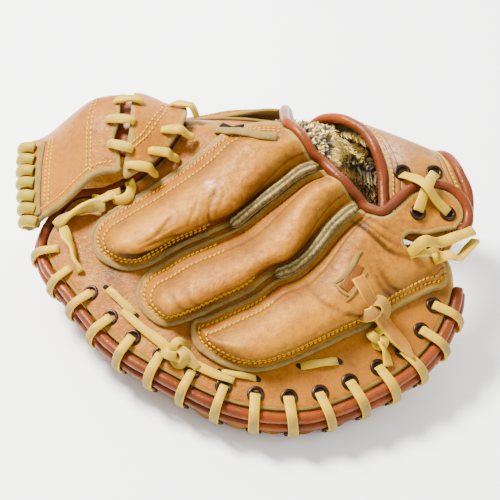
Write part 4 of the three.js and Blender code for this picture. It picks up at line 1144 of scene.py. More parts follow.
def stall(name, node):
    shape = STALLS[name]
    area = region(shape["outline"], spacing=1.25, seed=len(name))
    top = stall_top(name)
    sewn = shape["sewn"]

    # Painted highlight: the higher the stall's leather, the lighter its colour, with some random tone.
    def painted_crest_highlight(x, s):
        rise = (top(x, s) - STALL_LOW - LEATHER) / 17
        return np.clip(0.2 + 0.75 * rise + 0.35 * ripple(x, s, 4), 0, 1)

    made = layer(node, area, top, lambda x, s: stall_under(name, x, s), attributes={
        "seam": lambda x, s: distance(sewn, x, s),
        "light": painted_crest_highlight,
        "painted_shade": lambda x, s: np.clip(crease_share(name, x, s) / 1.8, 0, 0.85) + foot_shade(name, x, s),
        "wear": lambda x, s: 1.2 * np.exp(-(((x + 27.5) / 3.2) ** 2 + ((s + 38) / 2.2) ** 2)) * (name == "index"),
    }, materials=[STALL], fold=leaning(name))
    return piece(made, "back_leather", node)


def foot_shade(name, x, s):
    """Painted shade in the valley where a stall rises from its sewn margin."""
    gap = distance(STALLS[name]["sewn"], x, s)
    return 0.4 * np.exp(-(((gap - 9.5) / 3) ** 2))


def inner_row(path, outline, gap):
    """A line beside an edge, by the gap inside the outline."""
    run = np.gradient(path, axis=0)
    run /= np.linalg.norm(run, axis=1)[:, None]
    side = np.column_stack([-run[:, 1], run[:, 0]])
    middle = len(path) // 2
    if not inside(outline, *(path[middle] + side[middle] * 3)[:, None])[0]:
        side = -side
    moved = path + side * gap
    return even(moved[distance(path, *moved.T) > gap - 0.25], 1.0)


def bare_of_welts(row):
    """The stretches of a line that no welt lies over."""
    covered = np.zeros(len(row), bool)
    for knots in (INDEX_WELT, MIDDLE_WELT):
        covered |= distance(spline(flat(knots)), *row.T) < WELT_COVER
    cuts = np.flatnonzero(np.diff(covered.astype(int))) + 1
    return [part for part in np.split(row, cuts) if len(part) > 6 and distance(spline(flat(INDEX_WELT)), *part[len(part) // 2][:, None])[0] >= WELT_COVER
            and distance(spline(flat(MIDDLE_WELT)), *part[len(part) // 2][:, None])[0] >= WELT_COVER]


def raw_edge(name):
    """The thick cut edge of a stall's leather, along its sewn line."""
    made = []
    for row in bare_of_welts(inner_row(STALLS[name]["sewn"], STALLS[name]["outline"], 0.7)):
        wobble = 1 + 0.06 * np.sin(np.arange(len(row)) / 2.9) + 0.04 * np.sin(np.arange(len(row)) / 1.1)
        route = np.column_stack([row, np.full(len(row), STALL_LOW + 1.35)])
        made.append(sweep(f"{name}_raw_edge", fold(*route.T), flat_sides(route), ring_section(12), 1.8 * wobble * MM,
                          1.35 * wobble * MM, [TRIM]))
    return piece(join(f"{name}_raw_edge", made), "raw_leather")


# Rim

def nearest(points, place):
    return int(np.argmin(np.hypot(*(points - place).T)))


def beside(points, away, out, high):
    on_bend = (points[:, 1] > -RIDGE_BEND * FINGER_SLOPE) & (points[:, 1] < RIDGE_BEND * THUMB_SLOPE)
    lift = high - END_DROOP * (points[:, 0] / HALF_LENGTH) ** 2
    stretch = np.where(on_bend, RIDGE_BEND / (RIDGE_BEND + lift), 1)
    return np.column_stack([points[:, 0] + away[:, 0] * out, points[:, 1] + away[:, 1] * out * stretch])


def rim_line(out, high):
    edge = wound(line(PALM_OUTLINE, 10, True))
    moved = beside(edge, outward(edge), out, high)
    start, end = nearest(moved, flat([(0.963, -0.484)])[0]), nearest(moved, flat([(0.791, 0.7)])[0])
    count = (start - end) % len(moved) + 1
    ids = (start - np.arange(count)) % len(moved)
    return moved[ids]


RIM = spline(rim_line(0, 0))
LACE_OVER_RIM = [
    (-10.4, 1.6), (-9.6, 4.6), (-6.5, 5.3), (-2.5, 6.6), (2.2, 7.3), (6.6, 4.6), (9.1, -0.6), (10, -6), (9.4, -11),
    (7.4, -15.5), (5.2, -18),
]


def on_rim(share):
    """A place on the rim, the way along it and the way out."""
    total = lengths(RIM)[-1]
    here, ahead, behind = at_lengths(RIM, [share * total, share * total + 1, share * total - 1])
    run = (ahead - behind) / np.linalg.norm(ahead - behind)
    away = np.array([run[1], -run[0]])
    if inside(PALM_EDGE, *(here + away * 3)[:, None])[0]:
        away = -away
    return here, run, away


def rim_loop(name, share, seed, rows=None, slant=0.0):
    here, run, away = on_rim(share)
    random = np.random.default_rng(seed)
    rows = even(spline(np.array(rows or LACE_OVER_RIM, float)), 1.1)
    rows[:, 1] += random.uniform(-0.2, 0.25)
    slant += random.uniform(-1.2, 1.2)
    tilt = np.linspace(-0.5, 0.5, len(rows)) * slant
    places = np.array([beside(here[None], away[None], out, high)[0] for out, high in rows]) + run * tilt[:, None]
    middles = fold(*places.T, rows[:, 1])
    ahead = fold(*(places + run).T, rows[:, 1])
    share_along = np.linspace(0, 1, len(rows))
    grey = np.clip(smoothstep(share_along, 0.2, 0.5) * random.uniform(0.7, 1.0) + random.uniform(-0.1, 0.1), 0, 1)
    wide = LACE_WIDTH / 2 * random.uniform(0.92, 1.04) * (1 + 0.04 * np.sin(share_along * 9 + seed))
    return sweep(name, middles, ahead - middles, strap_section(), wide * MM, LACE_THICKNESS / 2 * MM, [LACE], {"dull": grey})


FINGER_LOOPS = np.linspace(0.023, 0.405, 16)
THUMB_LOOPS = np.linspace(0.69, 0.97, 7)


def rim_pieces():
    for name, (out, high) in (("back_piping", BACK_PIPING), ("palm_piping", PALM_PIPING)):
        route = even(spline(rim_line(out, high)), 2.0)
        wobble = 0.16 * np.sin(np.arange(len(route)) / 3.1) + 0.1 * np.sin(np.arange(len(route)) / 1.3)
        route = np.column_stack([route, high + wobble * 0.5])
        radius = PIPING_RADIUS * (1 + 0.035 * np.sin(np.arange(len(route)) / 2.2))
        squeeze = np.array([np.exp(-(((np.linspace(0, 1, len(route)) - t) / 0.004) ** 2)) for t in FINGER_LOOPS]).max(0)
        made = tube(name, route, radius * (1 - 0.07 * squeeze), PIPING, 16)
        piece(made, "piping_leather", name)
    for i, share in enumerate(FINGER_LOOPS):
        node = f"finger_rim_lace_{i + 1:02d}"
        piece(rim_loop(node, share, 20 + i), "lace", node)
    for i, share in enumerate(THUMB_LOOPS):
        node = f"thumb_rim_lace_{i + 1:02d}"
        piece(rim_loop(node, share, 60 + i), "lace", node)
    between = (THUMB_LOOPS[1:] + THUMB_LOOPS[:-1]) / 2
    piece(join("thumb_rim_laces_between", [rim_loop(f"between_{i}", t, 80 + i) for i, t in enumerate(between)]), "lace")
    back = [here + away * -10.2 for here, _, away in map(on_rim, [*FINGER_LOOPS[:14], *THUMB_LOOPS, *between])]
    eyelets("rim_eyelets", back, lambda x, s: BASE_TOP + 0 * x, "back_leather")


# Welts, binding and strap

def draped(rows, spacing, top, clear):
    points = line(rows, spacing)
    heights = top(*points.T) + clear
    padded = np.pad(heights, 3, mode="edge")
    mean = np.convolve(padded, np.ones(7) / 7, "valid")
    return np.column_stack([points, np.maximum(heights, mean)])


INDEX_WELT = [(-0.09, -0.38), (0.06, -0.281), (0.15, -0.228), (0.245, -0.174), (0.315, -0.152)]
MIDDLE_WELT = [
    (0.115, -0.54), (0.2, -0.508), (0.277, -0.456), (0.33, -0.408), (0.38, -0.36), (0.448, -0.312), (0.495, -0.285),
]


def welt(node, rows):
    route = draped(rows, 1.6, lambda x, s: top_of_back(x, s, WELT_RADIUS), WELT_RADIUS + 0.2)
    sides = 18
    count = len(route)
    radius = WELT_RADIUS * (1 + 0.05 * np.sin(np.arange(count) / 2.7))
    ends = np.minimum(1, np.minimum(np.arange(count) + 1.5, count - np.arange(count) + 0.5) / 3.0)
    angles = np.linspace(0, 2 * math.pi, sides, endpoint=False)
    section = ring_section(sides) * (1 + 0.07 * np.cos(6 * angles))[:, None]
    middles = fold(*route.T)
    made = sweep(node, middles, flat_sides(route), section, radius * ends * MM, radius * ends * 0.92 * MM, [WELT],
                 {"round": np.tile(angles, count)})
    piece(made, "raw_leather", node)


def wrist_binding():
    order = [("ring", False), ("middle", False), ("index", False), ("thumb", True)]
    mouths = {"ring": HEEL_TAB, "middle": MIDDLE_MOUTH, "index": INDEX_MOUTH, "thumb": THUMB_MOUTH}
    places, names = [], []
    for name, backwards in order:
        points = line(mouths[name], 7 if name != "thumb" else 8)
        places.append(points[::-1] if backwards else points)
        names += [name] * len(points)
    raw = np.vstack(places)
    padded = np.vstack([raw[0], raw, raw[-1]])
    run = padded[2:] - padded[:-2]
    run /= np.linalg.norm(run, axis=1)[:, None]
    away = np.column_stack([run[:, 1], -run[:, 0]])
    moved = raw + away * (PIPING_RADIUS + CLEARANCE)
    heights = np.array([stall_under(n, p[:1], p[1:])[0] + LEATHER / 2 for n, p in zip(names, raw)])
    around = np.array([heights[max(0, i - 1) : i + 2].mean() for i in range(len(heights))])
    middles = even(spline(fold(*moved.T, around)), 1.8 * MM)
    radius = PIPING_RADIUS * (1 + 0.03 * np.sin(np.arange(len(middles)) / 2.0))
    made = sweep("wrist_binding", middles, carried_sides(middles), ring_section(16), radius * MM, radius * MM, [PIPING])
    piece(made, "piping_leather", "wrist_binding")


def strap_knots(edge):
    rows = np.array(STRAP_SECTIONS, float)
    columns = rows[:, 3 * edge : 3 * edge + 3]
    places = flat(columns[:, :2])
    return np.column_stack([places, STALL_LOW + STRAP_RISE * columns[:, 2]])


STRAP_EDGES = [spline(strap_knots(edge), steps=40) for edge in (0, 1)]


def strap_at(edge, share):
    path = STRAP_EDGES[edge]
    index = np.asarray(share, float) * (len(path) - 1)
    return np.column_stack([np.interp(index, np.arange(len(path)), path[:, k]) for k in range(3)])


def band(name, start, end, low, high, inset, material, slot, node, count=(90, 26), extra=None):
    """A layer between the strap's edges."""
    t = np.linspace(start, end, count[0])
    u = np.linspace(inset, 1 - inset, count[1])
    near, far = strap_at(0, t), strap_at(1, t)
    places = near[:, None] * (1 - u[None, :, None]) + far[:, None] * u[None, :, None]
    wide = np.linalg.norm(far[:, :2] - near[:, :2], axis=1)[:, None]
    edge = np.minimum(np.minimum(u, 1 - u)[None] * wide, 40)
    heights = places[..., 2]
    soften = np.exp(-((edge / 1.2) ** 2)) * 0.35
    lift = extra(places[..., 0], places[..., 1]) if extra else 0
    upper = fold(places[..., 0], places[..., 1], heights + high - soften + lift)
    lower = fold(places[..., 0], places[..., 1], heights + low + soften)
    n, k = count
    i, j = np.meshgrid(np.arange(n - 1), np.arange(k - 1), indexing="ij")
    a = (i * k + j).ravel()
    shift = n * k
    faces = np.column_stack([a, a + 1, a + k + 1, a + k]).tolist()
    faces += np.column_stack([a + shift, a + k + shift, a + k + 1 + shift, a + 1 + shift]).tolist()
    border = [r * k for r in range(n)] + [(n - 1) * k + c for c in range(1, k)]
    border += [r * k + k - 1 for r in range(n - 2, -1, -1)] + list(range(k - 2, 0, -1))
    for p, q in zip(border, border[1:] + border[:1]):
        faces.append((p, q, q + shift, p + shift))
    values = {"seam": np.tile(edge.ravel(), 2), "edge": np.tile(edge.ravel() + 0.4, 2),
              "light": np.tile((0.35 + 0.4 * ripple(places[..., 0] * 0.7, places[..., 1] * 0.7, 3)).ravel(), 2)}
    values["wear"] = np.tile(strap_wear(places[..., 0], places[..., 1]).ravel(), 2)
    made = make_object(name, np.vstack([upper.reshape(-1, 3), lower.reshape(-1, 3)]), faces, values, [material])
    piece(made, slot, node)
    return made


def strap_wear(x, s):
    return 0.7 * np.exp(-(((x - 92) / 9) ** 2 + ((s + 8) / 10) ** 2)) + 0.5 * np.exp(-(((x - 80) / 12) ** 2 + ((s - 22) / 14) ** 2))


def strap_top(x, s):
    """Height of the strap's outer face at flat places, by the nearest place of a fine grid."""
    t = np.linspace(0, 0.75, 160)
    u = np.linspace(0, 1, 40)
    near, far = strap_at(0, t), strap_at(1, t)
    grid = (near[:, None] * (1 - u[None, :, None]) + far[:, None] * u[None, :, None]).reshape(-1, 3)
    gap = (grid[:, 0][None] - np.ravel(x)[:, None]) ** 2 + (grid[:, 1][None] - np.ravel(s)[:, None]) ** 2
    return (grid[np.argmin(gap, axis=1), 2] + STRAP_THICKNESS).reshape(np.shape(x))


def strap_piping(node, edge, start, end):
    t = np.linspace(start, end, 90)
    here, other = strap_at(edge, t), strap_at(1 - edge, t)
    run = np.gradient(here, axis=0)
    away = np.column_stack([run[:, 1], -run[:, 0]])
    away /= np.linalg.norm(away, axis=1)[:, None]
    flip = (away * (other - here)[:, :2]).sum(1) > 0
    away[flip] *= -1
    high = np.maximum(BASE_TOP + CLEARANCE + PIPING_RADIUS, here[:, 2] + STRAP_THICKNESS / 2)
    moved = here[:, :2] + away * (PIPING_RADIUS + 2 * CLEARANCE - 0.6)
    middles = even(spline(fold(*moved.T, high)[::3]), 1.8 * MM)
    radius = PIPING_RADIUS * (1 + 0.03 * np.sin(np.arange(len(middles)) / 2.3))
    made = sweep(node, middles, carried_sides(middles), ring_section(16), radius * MM, radius * MM, [PIPING])
    piece(made, "piping_leather", node)


def fleece():
    band("strap_fleece", 0.16, 0.72, -0.8 - FLEECE_THICKNESS, -0.8, 0.04, LINING, "fleece", "strap_fleece", (50, 14))
    random = np.random.default_rng(11)
    count = 3600
    t = 0.17 + 0.54 * random.random(count)
    u = 0.05 + 0.9 * random.random(count)
    near, far = strap_at(0, t), strap_at(1, t)
    root = near * (1 - u[:, None]) + far * u[:, None]
    x, s, w = root.T
    base = fold(x, s, w - 0.8 - FLEECE_THICKNESS * 0.7)
    down = -up(x, s, w)
    lean = random.normal(0, 0.55, (count, 3))
    size = random.uniform(4.5, 7.5, count) * MM
    rings, sides = 5, 5
    angles = np.linspace(0, 2 * math.pi, sides, endpoint=False)
    along = down + 0.5 * lean
    along /= np.linalg.norm(along, axis=1)[:, None]
    curl = np.cross(along, lean)
    curl /= np.linalg.norm(curl, axis=1)[:, None]
    side = np.cross(along, curl)
    points, shares = [], []
    for r in range(rings):
        f = r / (rings - 1)
        radius = (1.25 * (1 - f) ** 0.7 + 0.12) * MM
        middle = base + along * (size * f)[:, None] + curl * (size * 0.35 * math.sin(2.6 * f))[:, None]
        for a in angles:
            points.append(middle + (curl * math.cos(a) + side * math.sin(a)) * radius)
            shares.append(np.full(count, f))
    points = np.stack(points, 1).reshape(-1, 3)
    shares = np.stack(shares, 1).ravel()
    per = rings * sides
    faces = [(r * sides + k, r * sides + (k + 1) % sides, (r + 1) * sides + (k + 1) % sides, (r + 1) * sides + k)
             for r in range(rings - 1) for k in range(sides)]
    every = (np.array(faces)[None] + np.arange(count)[:, None, None] * per).reshape(-1, 4)
    made = make_object("fleece_locks", points, every, {"share": shares}, [WOOL])
    piece(made, "fleece")


# Web

def web_top(x, s):
    return web_high(x, s) + WEB_THICKNESS + 0.35 * ripple(x, s, 6)


def web_pieces():
    for node, edge in (("web_panel", WEB_EDGE), ("crotch_tongue", TONGUE_EDGE)):
        area = region(edge, spacing=2.4)
        made = layer(node, area, web_top, web_high, attributes={
            "seam": lambda x, s: 100 + 0 * x,
            "light": lambda x, s: np.clip(0.45 + 0.5 * ripple(x, s, 1), 0, 1),
        }, materials=[WEB])
        piece(made, "back_leather", node)


def main_pieces():
    palm_pad()
    back_leather("back_of_fingers", True, FINGER_SLOTS, "back_fingers")
    back_leather("back_of_thumb", False, THUMB_SLOTS, "back_thumb")
    for name in STALLS:
        stall(name, f"{name}_stall")
    rim_pieces()
    welt("index_welt", INDEX_WELT)
    welt("middle_welt", MIDDLE_WELT)
    wrist_binding()
    web_pieces()
    band("wrist_strap", 0, 1, 0, STRAP_THICKNESS, 0, STRAP, "strap_leather", "wrist_strap")
    strap_piping("strap_near_piping", 0, 0.09, 0.97)
    strap_piping("strap_far_piping", 1, 0.1, 0.905)
    fleece()
    for name, shape in STALLS.items():
        rows = [part for gap in STITCH_ROWS for part in bare_of_welts(inner_row(shape["sewn"], shape["outline"], gap))]
        stitches(f"{name}_stitches", rows, stall_top(name), "back_leather", fold=leaning(name))
        raw_edge(name)


main_pieces()


# Laces, knots and other trim

def skin(x, s):
    """Height of the leather of the back, with the stalls, at flat places."""
    x, s = np.asarray(x, float), np.asarray(s, float)
    high = np.full(x.shape, float(BASE_TOP))
    for name, shape in STALLS.items():
        within = inside(shape["outline"], x, s)
        if within.any():
            high = np.where(within, np.maximum(high, stall_top(name)(x, s)), high)
    return high


def over_skin(rows):
    """Knots of along, across and clearance over the leather, as knots with heights."""
    rows = np.asarray(rows, float)
    return np.column_stack([rows[:, :2], skin(rows[:, 0], rows[:, 1]) + rows[:, 2]])


def cad_knots(rows):
    """Knots of the CAD model's loose laces: shares and a height over the leather within half a lace."""
    places = flat([row[:2] for row in rows])
    over = np.array([row[2] for row in rows], float)
    return np.column_stack([places, top_of_back(*places.T, LACE_WIDTH / 2) + over])


STRAP_LACES = [
    [(0.89, -0.1, 10.2), (0.85, -0.155, 21.4), (0.81, -0.22, 3.8), (0.785, -0.27, 1.5)],
    [(0.73, -0.12, 8), (0.79, -0.165, 21), (0.83, -0.2, 9.6), (0.87, -0.225, 5), (0.93, -0.255, 1.5)],
]
STRAP_TAILS = [
    [(0.735, -0.422, 1.3), (0.79, -0.4, 14.5), (0.88, -0.37, 16.5), (0.96, -0.345, 20), (1.04, -0.312, 19.5)],
    [(0.85, -0.425, 1.3), (0.92, -0.422, 12.5), (0.965, -0.412, 14.5), (1.01, -0.375, 16), (1.055, -0.335, 15)],
]
BACK_LACE = [(-0.59, -0.69), (-0.5, -0.745), (-0.41, -0.79), (-0.33, -0.835), (-0.25, -0.858), (-0.16, -0.883), (-0.07, -0.9)]
THONG = [(0.485, -0.54), (0.515, -0.58), (0.55, -0.617), (0.595, -0.654), (0.645, -0.692), (0.69, -0.723)]


TAIL_WIDTH = 7
THONG_TIP = (6, -8)


def loose_laces():
    turns = [(0.1, -0.15, 0.1), (-0.1, 0.2, -0.1)]
    for i, rows in enumerate(STRAP_LACES):
        node = f"strap_lace_{i + 1:02d}"
        piece(lace(node, cad_knots(rows), width=6.6, dull=(0.3, 0.0, 0.3), turn=turns[i], seed=31 + i), "lace", node)
    turns = [(0.3, -0.35, 0.3, 0.1), (-0.4, 0.5, 1.1, 0.7)]
    for i, rows in enumerate(STRAP_TAILS):
        node = f"strap_tail_{i + 1:02d}"
        knots = cad_knots(rows)
        tail = lace(node, knots, width=TAIL_WIDTH, thickness=2.6, dull=(0.0, 0.1, 0.4), turn=turns[i], seed=41 + i)
        route = fold(*even(spline(knots), 1.2).T)
        piece(tail, "lace", node)
        lengths(route)[-1]
    inner = [(99, -80, 1.6), (106, -79, 8), (112, -75, 10), (118, -70, 6)]
    piece(lace("heel_lace", over_skin(inner), width=5.6, dull=(0.1, 0.2), turn=(0.2, -0.2), seed=44), "lace")

    places = flat(BACK_LACE)
    clear = np.array([1.0, 1.6, 1.8, 1.5, 1.9, 1.6, 1.2])
    first = lace("back_lace", over_skin(np.column_stack([places, clear])), dull=(0.35, 0.05, 0.1, 0.35), turn=(0.1, -0.15, 0.2),
                 narrow=(0.8, 1, 1, 0.75), seed=51)
    bow = knot("back_lace_knot", (-44, -155.5, BASE_TOP + 4.2), 15, 5.6, turn=0.5, dull=0.35)
    end = lace("back_lace_end", over_skin([(-47, -152, 4.5), (-38, -156, 6), (-34, -161, 4), (-31, -164, 2.5)]), width=5.2,
               dull=(0.3, 0.6), seed=52)
    piece(join("back_lace", [first, bow, end]), "lace", "back_lace")

    rows = np.column_stack([flat(THONG), [0.6, 3, 6, 7, 5, 3.6]])
    rows = np.vstack([rows, [*(rows[-1, :2] + THONG_TIP), 5]])
    strap = lace("finger_thong", over_skin(rows), THONG_LEATHER, 10.5, 2.8, dull=(0.05, 0.15, 0.3, 0.2, 0.3),
                 turn=(0, 0.15, 0.3, -0.1), narrow=(0.85, 0.75, 0.7, 0.75, 1.05, 1.0, 0.7, 0.14), seed=61)
    bulk = knot("thong_knot", (73.5, -116.5, skin(73.5, -116.5) + 4.6), 17, 8, THONG_LEATHER, turn=-0.7, dull=0.5)
    piece(join("finger_thong", [strap, bulk]), "raw_leather", "finger_thong")

    small = lace("small_knot_end", over_skin([(78, -132, 3), (80, -138, 4.4), (82, -144, 3), (83, -150, 1.8)]), width=7,
                 dull=(0.0, 0.2), turn=(0.2, 0.9, 0.3), narrow=(0.8, 1, 0.9), seed=63)
    small_knot = knot("small_knot", (78, -133, BASE_TOP + 4), 11, 5.6, turn=0.2, dull=0.1)
    piece(join("small_knot", [small, small_knot]), "lace")

    segments = [((-90, -115), (-71, -132)), ((30, -156.5), (53, -150)), ((-17, -164.5), (4, -166.5))]
    made = []
    for i, (start, end) in enumerate(segments):
        a, b = np.array(start, float), np.array(end, float)
        rows = [(*(a + (b - a) * f), lift) for f, lift in ((0, -1.2), (0.08, 0.5), (0.5, 1.7), (0.92, 0.5), (1, -1.2))]
        made.append(lace(f"segment_{i}", over_skin(rows), width=4.8 if i != 2 else 3.6, dull=(0.2, 0.45), seed=70 + i))
    piece(join("short_laces", made), "lace")
    # Dark slits where the short laces go in: painted shade in the openings.
    ends = np.array([p for pair in segments for p in pair], float)
    spots, along, aside, normal = frames_on(ends, np.tile([0.85, -0.5], (len(ends), 1)), lambda x, s: BASE_TOP + 0 * x)
    shape, faces = grain_shape(6.5, 3.4, 0.7, 10, 5)
    piece(copies("short_lace_slits", shape, faces, spots + normal * 0.25 * MM, along, aside, normal, HOLE_SHADE), "back_leather")


def bars():
    """Short laces across the web's gap and the crotch."""
    groups = [("web_lace", WEB_LACES, (0.5, 0.1)), ("crotch_lace", CROTCH_LACES, (0.05, 0.25))]
    for stem, rows, dull in groups:
        for i, (from_x, from_s, to_x, to_s) in enumerate(rows):
            node = f"{stem}_{i + 1:02d}"
            start, end = flat([(from_x, from_s), (to_x, to_s)])
            path = even(np.array([start, end]), 2.0)
            high = np.array([top_of_all(x, s) for x, s in path]) + 2.1
            smooth_high = np.convolve(np.pad(high, 3, mode="edge"), np.ones(7) / 7, "valid")
            high = np.maximum(high, smooth_high) + 0.9 * np.sin(np.linspace(0, math.pi, len(path)))
            high[[0, -1]] -= 1.6
            knots = np.column_stack([path, high])[:: max(1, len(path) // 6)]
            made = lace(node, knots, width=6.4, thickness=2.6, dull=dull, narrow=(0.7, 1.05, 1.05, 0.7), seed=90 + i)
            piece(made, "lace", node)


WEB_LACES = [(-0.67, 0.03, -0.53, 0.03), (-0.7, -0.043, -0.56, -0.048), (-0.685, -0.12, -0.565, -0.14)]
CROTCH_LACES = [
    (-0.4, 0.12, -0.25, 0.06), (-0.43, -0.053, -0.26, -0.05), (-0.485, -0.135, -0.35, -0.132), (-0.59, -0.197, -0.45, -0.2),
]


def top_of_all(x, s):
    """Height of whatever is highest at a flat place: web, tongue, rim piping or back."""
    x, s = np.array([x]), np.array([s])
    for outline in (WEB_EDGE, TONGUE_EDGE):
        if inside(outline, x, s)[0] or distance(closed_loop(outline), x, s)[0] < LACE_WIDTH / 2 + 1:
            return web_high(x, s)[0] + WEB_THICKNESS
    if distance(closed_loop(PALM_EDGE), x, s)[0] < 1.8 * PIPING_RADIUS:
        return BACK_PIPING[1] + PIPING_RADIUS
    return top_of_back(x, s)[0] if inside(PALM_EDGE, x, s)[0] else web_high(x, s)[0]


LACE_OVER_WEB = [
    (-8, WEB_THICKNESS + 1.2), (-5, WEB_THICKNESS + 3), (-2, WEB_THICKNESS + 3.6), (1.8, WEB_THICKNESS + 2.4), (3.6, WEB_THICKNESS / 2),
    (1.8, -1.6), (-3, -2.4), (-8, -2.1),
]


def web_end(across):
    a, b = WEB_EDGE, np.roll(WEB_EDGE, -1, axis=0)
    rise = b[:, 1] - a[:, 1]
    share = (across - a[:, 1]) / np.where(rise == 0, 1e-9, rise)
    hits = (share >= 0) & (share <= 1)
    return (a[:, 0] + share * (b[:, 0] - a[:, 0]))[hits].min()


def web_loop(name, across, seed):
    edge = web_end(across)
    rows = even(spline(np.array(LACE_OVER_WEB, float)), 0.9)
    along = edge - rows[:, 0]
    high = web_high(np.maximum(along, edge), np.full(len(rows), across)) + rows[:, 1]
    random = np.random.default_rng(seed)
    slant = np.linspace(-1, 1, len(rows)) * random.uniform(0.3, 1.4)
    middles = fold(along, across + slant, high)
    sides = fold(along, across + slant + 1, high) - middles
    grey = np.full(len(rows), random.uniform(0.0, 0.3))
    return sweep(name, middles, sides, ring_section(12), 3.9 * MM, 2.3 * MM, [OLD_LACE], {"dull": grey})


def web_trim():
    spots = np.linspace(-0.33, -0.12, 5) * FINGER_REACH
    for i, across in enumerate(spots):
        node = f"web_loop_{i + 1:02d}"
        piece(web_loop(node, across, 100 + i), "lace", node)
    extra = [web_loop("web_loop_first", -71.5, 110), web_loop("web_loop_last", -12.8, 111)]
    piece(join("web_loops_beyond", extra), "lace")

    flap = even(np.array([(-141.5, -6.0), (-142, -30), (-141, -50), (-139, -68)]), 1.5)
    route = np.column_stack([flap, web_top(*flap.T) + 0.9])
    piece(strip("web_flap_edge", route, 4.6, 2.0, TRIM, attributes={"round": np.zeros(len(route) * 10)}), "raw_leather")

    edge = WEB_EDGE
    low = edge[(edge[:, 1] < -37) & (edge[:, 0] > -147) & (edge[:, 0] < -80)]
    low = low[np.argsort(low[:, 0])]
    route = np.column_stack([low, web_high(*low.T) + WEB_THICKNESS / 2 + 0.2])
    route = even(route, 1.5)
    wobble = 1 + 0.08 * np.sin(np.arange(len(route)) / 2.1)
    made = sweep("web_raw_edge", fold(*route.T), flat_sides(route), ring_section(12), 2.3 * wobble * MM, 2.0 * wobble * MM, [TRIM],
                 {"round": np.tile(np.linspace(0, 6.28, 12, endpoint=False), len(route))})
    piece(made, "raw_leather")

    rows = [
        even(np.array([(-136.4, -5.0), (-136.6, -30), (-135.4, -58)]), 1),
        even(np.array([(-133.6, -5.0), (-133.8, -30), (-132.6, -60)]), 1),
        even(np.array([(-105.4, 12.0), (-107, -10), (-106, -42)]), 1),
        even(np.array([(-102.6, 12.0), (-104.2, -10), (-103.4, -40)]), 1),
        inner_row(low, WEB_EDGE, 5.2),
        even(np.array([(-64, 24.0), (-68, 6), (-71.5, -12), (-74, -28)]), 1),
        even(np.array([(-67, 24.0), (-71, 6), (-74.3, -12), (-76.8, -28)]), 1),
    ]
    tongue_rows = [
        inner_row(TONGUE_EDGE[(TONGUE_EDGE[:, 0] > -72) & (TONGUE_EDGE[:, 1] < 24) & (TONGUE_EDGE[:, 0] > -0.47 * 134 - 14)], TONGUE_EDGE, gap)
        for gap in (13.5, 16.3)
    ]
    stitches("web_stitches", rows[:5] + tongue_rows, web_top, "back_leather")
    corner = [(-79, -41, 5), (-77, -47, 7), (-79, -54, 8.5), (-86, -56, 7), (-90, -53, 5)]
    twist = [(-84, -50, 6), (-91, -53, 8.6), (-98, -56, 8), (-103, -54, 5)]
    mass = [(-94, -60, 7), (-100, -61, 10), (-107, -63, 10.5), (-114, -66, 10), (-121, -69, 8), (-127, -73, 6)]
    tail = [(-121, -76, 8.5), (-118, -83, 10), (-114, -90, 9), (-112, -98, 6.8), (-108, -105, 4.4)]
    made = [
        lace("corner_lace", corner, width=6.4, dull=(0.0, 0.1), turn=(0, 0.5, 1.1), seed=120),
        lace("corner_twist", twist, width=7, dull=(0.0, 0.2), turn=(0.6, -0.5, 0.4), seed=121),
        lace("twisted_lace", mass, width=10, thickness=3.4, dull=(0.75, 0.5, 0.15, 0.6), turn=(0, 1.2, 2.4, 3.4), narrow=(0.7, 1, 0.9, 1, 0.6), seed=122),
        lace("twisted_tail", tail, width=7.4, thickness=2.4, dull=(0.25, 0.1, 0.3), turn=(0.2, 1.4, 2.6), narrow=(0.8, 1, 0.7, 1, 0.7), seed=123),
    ]
    piece(join("corner_laces", made), "lace")


def web_backing():
    """The web's inner leather under the gap, made of the darker piping leather: real leather, partly painted shade, so
    the gap shows dark.
    """
    rows = [(-83, 16), (-82.5, 2), (-82.5, -12), (-83.5, -28)]
    path = even(spline(np.array(rows, float)), 3)
    route = np.column_stack([path, web_high(*path.T) - 3.4])
    piece(strip("web_backing", route, 26, 1.6, PIPING), "back_leather")


def strap_trim():
    t = np.linspace(0.09, 0.9, 220)
    for name, edge, gap, other in (("near", 0, 3.0, 1), ("far", 1, 3.0, 0)):
        here, there = strap_at(edge, t), strap_at(other, t)
        toward = there - here
        toward /= np.linalg.norm(toward[:, :2], axis=1)[:, None]
        row = even((here + toward * gap)[:, :2], 1.0)
        stitches(f"strap_{name}_stitches", [row], strap_top, "strap_leather")
    eyelets("strap_eyelets", [(119, -17.5), (98, -20.5)], strap_top, "strap_leather", 4.3, 1.3)
    eyelets("tab_eyelets", [(105.2, -50.8), (124.6, -48)], stall_top("ring"), "back_leather", 4.0, 1.4)


